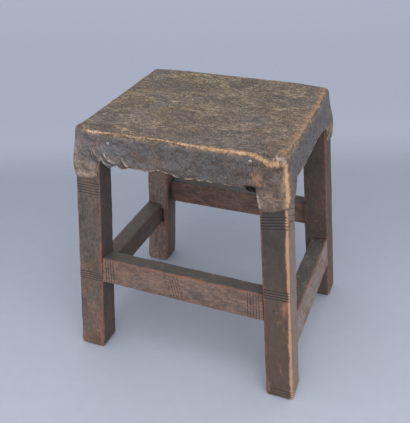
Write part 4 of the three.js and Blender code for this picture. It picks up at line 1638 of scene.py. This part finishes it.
    def drape(self, side: int, inset: float, edge_rows: int, flap_rows: int) -> dict[str, Array]:
        """A side from the seat's border down to the lower edge, one column for each of its spans.

        Args:
            side: The side.
            inset: How far the skin lies inside the outer one.
            edge_rows: How many rows round the edge has.
            flap_rows: How many rows it has below.

        Returns:
            Its points, with how near each is to a worn ridge, the ridge's surrounds, the lower edge, a crease
            and a leg, and how much painted shade it gets.
        """
        count = self.spans[side % 2]
        high_place = np.linspace(0.0, self.run(side), count + 1)[:-1]
        low_place, low_height = self.lower_edge(side)
        rounding, start = self.rounding(side, high_place, inset, edge_rows)
        share = np.linspace(0.0, 1.0, flap_rows + 1)[1:, None]
        share = 1.0 - (1.0 - share) ** 1.15
        place = high_place + (low_place - high_place) * smooth(0.0, 1.0, share) ** 0.9
        height = start + (low_height - start) * share
        root, normal = self.wall(side, place, height)
        outer_face = root + normal * self.corner_radius
        spots = np.concatenate([outer_face, height[..., None]], axis=-1)
        gap = (1.0 - share) * (start - low_height)
        outer, inner, fold, stain = self.unevenness(side, place, height, spots, gap)
        settled = smooth(0.0, 0.25, share)
        out = (inner if inset else outer) * settled - inset
        wall = np.concatenate([outer_face + normal * out[..., None], height[..., None]], axis=-1)
        points = np.concatenate([rounding, wall])
        end = np.minimum(place, self.run(side) - place)
        first, last = self.CORNER_WEAR[side], self.CORNER_WEAR[(side + 1) % 4]
        worn = np.where(place < self.run(side) / 2, first, last)
        down = share * (start - low_height)
        bend = np.linspace(0.0, math.pi / 2, edge_rows)[:, None]
        beyond = bend * self.edge_radius + np.zeros(count)
        line, near = self.wear(side, rounding[-1, :, 0], beyond)
        low_line, below = self.wear(side, rounding[-1, :, 0], 0.5 * math.pi * self.edge_radius + down)
        arris = worn * hump(end, 3.8 * MM) * smooth(0.0, 3 * MM, gap)
        beside = worn * np.exp(-end / self.halo) * smooth(0.0, 3 * MM, gap)
        grip = 1.0 - smooth(self.sleeve - 6 * MM, self.sleeve + 8 * MM, end)
        at_arris = hump(end, 12 * MM) * smooth(0.0, 30 * MM, down)
        grip = np.maximum(grip * smooth(30 * MM, 44 * MM, down), at_arris)
        none = np.zeros_like(beyond)
        # Painted shade on the rounding of the rear and left sides, which turns away from the light
        edge_shade = self.SIDE_SHADE[side] * smooth(1 * MM, 6 * MM, beyond)
        return {
            "points": points,
            "ridge": np.concatenate([line, np.maximum(arris, low_line)]),
            "halo": np.maximum(np.concatenate([near, np.maximum(below, beside)]), self.glow(points)),
            "rim": np.concatenate([none, np.exp(-gap / (1.5 * MM)) * np.ones_like(outer)]),
            "fold": np.concatenate([self.chalk(rounding), fold]),
            "grip": np.concatenate([none, grip]),
            "stain": np.concatenate([edge_shade, stain]),
        }

    def wear(self, side: int, across: Array, beyond: Array) -> tuple[Array, Array]:
        """The worn ridge along one side.

        Args:
            side: The side.
            across: The points' X.
            beyond: How far they lie outside the seat's border, along the skin.

        Returns:
            How near each point is to the ridge's bright line, and to the ridge, each from 0 to 1.
        """
        right, turned, fallen, fading = 0.4, 0.0, 0.0, 1.0
        if side == 0:
            right = smooth(-40 * MM, 50 * MM, across)
            turned = smooth(92 * MM, 122 * MM, across)
            fallen = smooth(-70 * MM, -122 * MM, across)
            fading = smooth(-138 * MM, -124 * MM, across)
        away = beyond - (0.8 + 3.0 * right + 10.0 * turned + 5.5 * fallen) * MM
        width = (1.5 + 2.2 * right + 0.8 * turned + 1.2 * fallen) * MM
        line = self.SIDE_LINE[side] * hump(away, width) * fading
        inwards, outwards = self.SIDE_REACH[side]
        reach = np.where(away > 0, outwards, inwards)
        return line, self.SIDE_HALO[side] * np.exp(-np.abs(away) / reach)

    def glow(self, points: Array) -> Array:
        """The warm colour round the worn corners of the seat and on the front flap.

        Args:
            points: The points.

        Returns:
            How strong it is at each, from 0 to 1.
        """
        total = np.zeros(points.shape[:-1])
        for leg, strength in zip(self.legs, self.CORNER_HALO):
            head = np.append(leg.outer(self.seat_height), self.seat_height)
            total = np.maximum(total, strength * np.exp(-np.linalg.norm(points - head, axis=-1) / (20 * MM)))
        blush = np.linalg.norm(points - np.array(self.BLUSH), axis=-1)
        return np.maximum(total, hump(blush, 11 * MM))

    def chalk(self, points: Array) -> Array:
        """How chalky some points are: a small pale patch on the seat by the front right corner."""
        away = (points[..., :2] - np.array(self.CHALK)) / np.array([10 * MM, 3.2 * MM])
        return 0.85 * hump(np.linalg.norm(away, axis=-1), 1.0)

    def top(self, border: Array, inset: float) -> Array:
        """The seat's surface inside its border, as a grid.

        Args:
            border: The border's points, in the order of a walk round it.
            inset: How far the skin lies inside the hide.

        Returns:
            The grid's points: rows from the front to the rear, columns from left to right.
        """
        wide, deep = self.spans
        front = border[: wide + 1]
        right = border[wide: wide + deep + 1]
        rear = border[wide + deep: 2 * wide + deep + 1][::-1]
        left = np.concatenate([border[2 * wide + deep:], border[:1]])[::-1]
        u = np.linspace(0.0, 1.0, wide + 1)[None, :, None]
        v = np.linspace(0.0, 1.0, deep + 1)[:, None, None]
        sides = (1 - v) * front[None] + v * rear[None] + (1 - u) * left[:, None] + u * right[:, None]
        front_corners = (1 - u) * front[0] + u * front[-1]
        rear_corners = (1 - u) * rear[0] + u * rear[-1]
        grid = sides - (1 - v) * front_corners - v * rear_corners
        grid[..., 2] = self.seat(grid[..., 0], grid[..., 1]) - inset
        return grid

    def border_index(self, grid: Array) -> Array:
        """The numbers of a grid's border, in the order of a walk round it from the front left corner."""
        return np.concatenate([grid[0, :-1], grid[:-1, -1], grid[-1, :0:-1], grid[:0:-1, 0]])

    def add_skin(self, skin: Skin, inset: float, edge_rows: int, flap_rows: int) -> Array:
        """Adds the outer or the inner skin.

        Args:
            skin: The surface so far.
            inset: How far the skin lies inside the outer one.
            edge_rows: How many rows the rounding has.
            flap_rows: How many rows a wall has.

        Returns:
            The numbers of the points on its lower edge.
        """
        drapes = [self.drape(side, inset, edge_rows, flap_rows) for side in range(4)]
        whole = {name: np.concatenate([d[name] for d in drapes], axis=1) for name in drapes[0]}
        points = whole.pop("points")
        grid = self.top(points[0], inset)
        inside = [grid[..., 1] - grid[:1, :, 1], grid[:, -1:, 0] - grid[..., 0],
                  grid[-1:, :, 1] - grid[..., 1], grid[..., 0] - grid[:, :1, 0]]
        worn = [self.wear(side, grid[..., 0], -away) for side, away in enumerate(inside)]
        line = np.max([each[0] for each in worn], axis=0)
        halo = np.maximum(np.max([each[1] for each in worn], axis=0), self.glow(grid))
        worn = {"ridge": line, "halo": halo, "fold": self.chalk(grid)}
        numbers = skin.add_points(grid, **self.PLAIN | worn)
        skin.add_grid(numbers, flip=inset > 0)
        border = self.border_index(numbers)
        rest = skin.add_points(points[1:], **{name: value[1:] for name, value in whole.items()})
        skin.add_grid(np.concatenate([border[None], rest]), closed=True, flip=inset == 0)
        return rest[-1]

    def build(self, material: Material) -> Piece:
        """Makes the hide.

        Args:
            material: Its finish.

        Returns:
            The piece.
        """
        skin = Skin("rawhide_cover")
        outer = self.add_skin(skin, 0.0, self.edge_rows, self.flap_rows)
        inner = self.add_skin(skin, self.thickness, 4, 9)
        points = np.concatenate(skin.points)
        middle = (points[outer] * 0.55 + points[inner] * 0.45) - np.array([0.0, 0.0, 0.5 * MM])
        rim = skin.add_points(middle, **self.PLAIN | {"rim": 1.0})
        skin.add_grid(np.stack([outer, rim, inner]), closed=True, flip=True)
        piece = skin.build(material)
        settle(piece, Slot.RAWHIDE, "hide_cover")
        return piece


# Pegs and tacks


class Growth(Nodes):
    """Writes a Geometry Nodes tree that repeats a small piece at marked places."""

    def __init__(self, name: str, sizes: dict[str, float]) -> None:
        """Starts a tree with named inputs for its places, sizes, seed and finish.

        Args:
            name: The tree's name.
            sizes: Its sizes, by name.
        """
        super().__init__(bpy.data.node_groups.new(name, "GeometryNodeTree"))
        sockets = self.tree.interface
        kinds = {"Places": "Geometry"} | dict.fromkeys(sizes, "Float") | {"Seed": "Int", "Finish": "Material"}
        self.inputs = {}
        for label, kind in kinds.items():
            socket = sockets.new_socket(label, in_out="INPUT", socket_type="NodeSocket" + kind)
            self.inputs[label] = socket.identifier
            if label in sizes:
                socket.default_value = sizes[label]
        sockets.new_socket("Pieces", in_out="OUTPUT", socket_type="NodeSocketGeometry")
        self.source = self.tree.nodes.new("NodeGroupInput").outputs
        self.output = self.tree.nodes.new("NodeGroupOutput")

    def rubbed(self, shape: Node, depth: float, size: float) -> Node:
        """Moves a shape's points a little at random.

        Args:
            shape: The shape.
            depth: How far they are moved at most.
            size: The size of the unevenness.

        Returns:
            The moved shape.
        """
        noise = self.add("ShaderNodeTexNoise", {"Scale": 1.0 / size, "Detail": 1.0}).outputs["Color"]
        centred = self.add("ShaderNodeVectorMath", {0: noise, 1: (0.5, 0.5, 0.5)}, operation="SUBTRACT")
        push = self.add("ShaderNodeVectorMath", {0: centred, "Scale": 2 * depth}, operation="SCALE")
        return self.add("GeometryNodeSetPosition", {"Geometry": shape, "Offset": push})

    def repeat(self, shape: Node) -> None:
        """Puts the shape at each place, its +Z along the place's outward direction, and ends the tree.

        Args:
            shape: The shape.
        """
        outward = self.add("GeometryNodeInputNamedAttribute", {"Name": "outward"}, data_type="FLOAT_VECTOR")
        turn = self.add("FunctionNodeAlignRotationToVector", {"Vector": outward}, axis="Z")
        stood = {"Points": self.source["Places"], "Instance": shape, "Rotation": turn}
        placed = self.add("GeometryNodeInstanceOnPoints", stood)
        turns = {"Min": (0.0, 0.0, 0.0), "Max": (0.0, 0.0, math.tau), "Seed": self.source["Seed"]}
        spin = self.add("FunctionNodeRandomValue", turns, data_type="FLOAT_VECTOR")
        spun = {"Instances": placed, "Rotation": spin, "Local Space": True}
        turned = self.add("GeometryNodeRotateInstances", spun)
        real = self.add("GeometryNodeRealizeInstances", {"Geometry": turned})
        smoothed = self.add("GeometryNodeSetShadeSmooth", {"Geometry": real})
        finish = {"Geometry": smoothed, "Material": self.source["Finish"]}
        dressed = self.add("GeometryNodeSetMaterial", finish)
        self.tree.links.new(dressed.outputs[0], self.output.inputs[0])

    def grow(self, name: str, places: Array, outward: Array, values: dict) -> Piece:
        """Runs the tree on some places and keeps the result as a plain mesh.

        Args:
            name: The piece's name.
            places: The points at which the small piece is repeated.
            outward: The direction in which each one looks.
            values: The inputs' values, by name.

        Returns:
            The piece.
        """
        marks = bpy.data.meshes.new(name + "_places")
        marks.from_pydata(places.tolist(), [], [])
        attribute = marks.attributes.new("outward", "FLOAT_VECTOR", "POINT")
        attribute.data.foreach_set("vector", outward.astype(np.float32).ravel())
        holder = added(name + "_places", marks)
        modifier = holder.modifiers.new("Growth", "NODES")
        modifier.node_group = self.tree
        for label, value in values.items():
            modifier[self.inputs[label]] = value
        evaluated = holder.evaluated_get(bpy.context.evaluated_depsgraph_get())
        mesh = bpy.data.meshes.new_from_object(evaluated)
        mesh.name = name
        bpy.data.objects.remove(holder)
        return added(name, mesh)


class Fastenings:
    """Small pieces of one kind, made as one, each where its node stands in the frame."""

    def nodes(self) -> list[str]:
        """Their nodes, in the order of their names."""
        return sorted(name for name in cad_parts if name.startswith(self.KIND))

    def build(self, material: Material) -> None:
        """Makes them.

        Args:
            material: Their finish.
        """
        spots = np.array([self.spot(node) for node in self.nodes()])
        values = {"Seed": self.seed, "Finish": material}
        piece = self.tree().grow(self.NAME, spots[:, 0], spots[:, 1], values)
        settle(piece, self.SLOT, *self.nodes())


@dataclass(frozen=True)
class Pegs(Fastenings):
    """The draw-bore pegs, whittled, one through each tenon and flush with its leg but for a little."""

    diameter: float = 6 * MM
    proud: float = 0.6 * MM
    node_proud: float = 0.8 * MM
    sides: int = 12
    seed: int = 5

    NAME, KIND, SLOT = "draw_bore_pegs", "peg_", Slot.PEG_WOOD

    def tree(self) -> Growth:
        """Makes a peg at each place.

        Returns:
            The tree.
        """
        length = float(np.ptp(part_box(self.nodes()[0]), axis=0).max())
        growth = Growth("whittled_pegs", {"Diameter": self.diameter, "Length": length})
        size = growth.source
        radius = growth.math("MULTIPLY", size["Diameter"], 0.5)
        fineness = {"Vertices": self.sides, "Side Segments": 24, "Fill Segments": 3}
        rod = growth.add("GeometryNodeMeshCylinder", fineness | {"Radius": radius, "Depth": size["Length"]})
        growth.repeat(growth.rubbed(rod, 0.25 * MM, 2.5 * MM))
        return growth

    def spot(self, node: str) -> tuple[Array, Array]:
        """Reads where a peg stands.

        Args:
            node: Its node.

        Returns:
            Its middle and the direction in which it looks.
        """
        low, high = (np.array(corner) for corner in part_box(node))
        middle, axis = (low + high) / 2, int(np.argmax((high - low)[:2]))
        look = np.zeros(3)
        look[axis] = np.sign(middle[axis])
        return middle - look * (self.node_proud - self.proud), look


@dataclass(frozen=True)
class Tacks(Fastenings):
    """The two domed tacks in the front flap."""

    head: float = 5 * MM
    rise: float = 1.5 * MM
    brim: float = 0.3 * MM
    shank: float = 2 * MM
    length: float = 13 * MM
    seed: int = 3

    NAME, KIND, SLOT = "domed_tacks", "tack_", Slot.IRON

    def tree(self) -> Growth:
        """Makes a tack at each place.

        Returns:
            The tree.
        """
        sizes = {"Head": self.head, "Rise": self.rise, "Shank": self.shank, "Length": self.length}
        growth = Growth("domed_tacks", sizes)
        size = growth.source
        wide, thin = (growth.math("MULTIPLY", size[name], 0.5) for name in ("Head", "Shank"))
        ball = growth.add("GeometryNodeMeshUVSphere", {"Segments": 20, "Rings": 14, "Radius": wide})
        here = growth.add("GeometryNodeInputPosition", {})
        place = growth.add("ShaderNodeSeparateXYZ", {0: here}).outputs
        flat = growth.math("MULTIPLY", size["Rise"], growth.math("DIVIDE", 2.0, size["Head"]))
        height = growth.math("MULTIPLY", growth.math("MAXIMUM", place["Z"], -self.brim), flat)
        moved = growth.add("ShaderNodeCombineXYZ", {"X": place["X"], "Y": place["Y"], "Z": height})
        dome = growth.add("GeometryNodeSetPosition", {"Geometry": ball, "Position": moved})
        shank = {"Vertices": 10, "Radius": thin, "Depth": size["Length"]}
        stem = growth.add("GeometryNodeMeshCylinder", shank)
        down = growth.add("ShaderNodeCombineXYZ", {"Z": growth.math("MULTIPLY", size["Length"], -0.5)})
        stem = growth.add("GeometryNodeTransform", {"Geometry": stem, "Translation": down})
        both = growth.add("GeometryNodeJoinGeometry", {})
        for part in (stem, growth.rubbed(dome, 0.18 * MM, 1.6 * MM)):
            growth.tree.links.new(part.outputs[0], both.inputs[0])
        growth.repeat(both)
        return growth

    def spot(self, node: str) -> tuple[Array, Array]:
        """Reads where a tack stands.

        Args:
            node: Its node.

        Returns:
            The middle of its head and the direction in which it looks.
        """
        points = corners(node)
        near, far = points[points[:, 1].argmin()], points[points[:, 1].argmax()]
        look = (near - far) / np.linalg.norm(near - far)
        return near - look * self.rise * 0.8, look


# The studio


@dataclass(frozen=True)
class Lamp:
    """A square lamp that looks at the stool's middle, its power in watts."""

    name: str
    place: Triple
    size: float
    power: float
    colour: Colour

    TARGET = Vector((0.0, 0.0, 0.2))

    def hang(self) -> None:
        """Puts it in the scene."""
        data = bpy.data.lights.new(self.name, "AREA")
        data.size, data.energy, data.color = self.size, self.power, self.colour
        lamp = added(self.name, data)
        lamp.location = self.place
        lamp.rotation_euler = (self.TARGET - Vector(self.place)).to_track_quat("-Z", "Y").to_euler()


@dataclass(frozen=True)
class Studio:
    """The camera at the photograph's place, the floor and soft light."""

    camera_place: Triple = (0.2993, -0.7638, 0.6876)
    camera_right: Triple = (0.9305, 0.3657, -0.0213)
    camera_forward: Triple = (-0.3234, 0.7927, -0.5168)
    lens: float = 54.54
    floor_size: float = 14.0
    floor_gap: float = 0.3 * MM
    world: Colour = (0.94, 0.96, 1.0)
    world_strength: float = 0.82
    lamps: tuple[Lamp, ...] = (
        Lamp("overhead", (0.30, -1.00, 1.8), 1.5, 15.0, (1.0, 0.985, 0.96)),
        Lamp("front_right", (1.5, -1.1, 0.9), 1.2, 4.5, (1.0, 0.98, 0.95)),
    )

    def camera(self) -> None:
        """Sets the camera."""
        data = bpy.data.cameras.new("camera")
        data.lens, data.sensor_width = self.lens, 36.0
        data.clip_start, data.clip_end = 0.02, 60.0
        camera = added("camera", data)
        forward = Vector(self.camera_forward).normalized()
        right = Vector(self.camera_right)
        right = (right - forward * right.dot(forward)).normalized()
        up = right.cross(forward)
        turn = Matrix((right, up, -forward)).transposed().to_4x4()
        camera.matrix_world = Matrix.Translation(self.camera_place) @ turn
        bpy.context.scene.camera = camera

    def floor(self, material: Material) -> None:
        """Lays the floor.

        Args:
            material: Its finish.
        """
        half, low = self.floor_size / 2, -self.floor_gap
        mesh = bpy.data.meshes.new("floor")
        corners = [(-half, -half, low), (half, -half, low), (half, half, low), (-half, half, low)]
        mesh.from_pydata(corners, [], [(0, 1, 2, 3)])
        mesh.materials.append(material)
        added("floor", mesh)

    def light(self) -> None:
        """Sets the world and the lamps."""
        world = bpy.data.worlds.new("soft_room")
        bpy.context.scene.world = world
        world.use_nodes = True
        sky = world.node_tree.nodes["Background"]
        sky.inputs["Color"].default_value = (*self.world, 1.0)
        sky.inputs["Strength"].default_value = self.world_strength
        for lamp in self.lamps:
            lamp.hang()
        bpy.context.scene.view_settings.view_transform = "Standard"

    def build(self) -> None:
        """Sets up the whole studio."""
        self.camera()
        self.light()
        self.floor(Floor().build("floor_paper"))


# The finishes of the pieces

FRAME_WOOD = {
    "leg_front_left": HewnWood(body=(0.158, 0.124, 0.103), redness=0.5, glow=0.28),
    "leg_front_right": HewnWood(
        body=(0.072, 0.058, 0.047), bare=(0.265, 0.200, 0.165), redness=0.35, glow=2.4,
    ),
    "leg_rear_right": HewnWood(body=(0.088, 0.066, 0.054), warm=(0.150, 0.085, 0.060), redness=0.6),
    "leg_rear_left": HewnWood(body=(0.270, 0.205, 0.168), redness=0.5),
    "stretcher_front": HewnWood(body=(0.225, 0.160, 0.128), warm=(0.260, 0.160, 0.115), redness=0.7),
    "stretcher_right": HewnWood(body=(0.280, 0.245, 0.225)),
    "stretcher_rear": HewnWood(body=(0.260, 0.180, 0.148), warm=(0.260, 0.140, 0.098), redness=0.8),
    "stretcher_left": HewnWood(body=(0.240, 0.176, 0.150), soot=(0.085, 0.080, 0.075), redness=0.6),
}
HIDDEN_WOOD = HewnWood(dark=(0.10, 0.095, 0.085), body=(0.30, 0.28, 0.25), redness=0.3)
PEG_WOOD = HewnWood(redness=0.5)


def dress_seat_rails() -> None:
    """Gives the seat rails, which stay as the frame's own pieces, their finish."""
    finish = HIDDEN_WOOD.build("hidden_rail_wood", None)
    for node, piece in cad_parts.items():
        if node.startswith("seat_rail_"):
            piece.data.materials.clear()
            piece.data.materials.append(finish)
            log.info("%s: dressed", node)


def main() -> None:
    """Builds the studio and the stool, piece by piece."""
    logging.basicConfig(level=logging.INFO, format="%(name)s: %(message)s")
    Studio().build()
    legs = [LegLine.read("leg_" + site) for site in ("front_left", "front_right", "rear_right", "rear_left")]
    hide = HideCover(legs)
    Frame(legs, hide, FRAME_WOOD).build()
    dress_seat_rails()
    cover = hide.build(Rawhide().build("smoked_rawhide"))
    Pegs().build(PEG_WOOD.build("peg_wood_end", None))
    Tacks().build(Iron().build("rubbed_iron"))


if __name__ == "__main__":
    main()
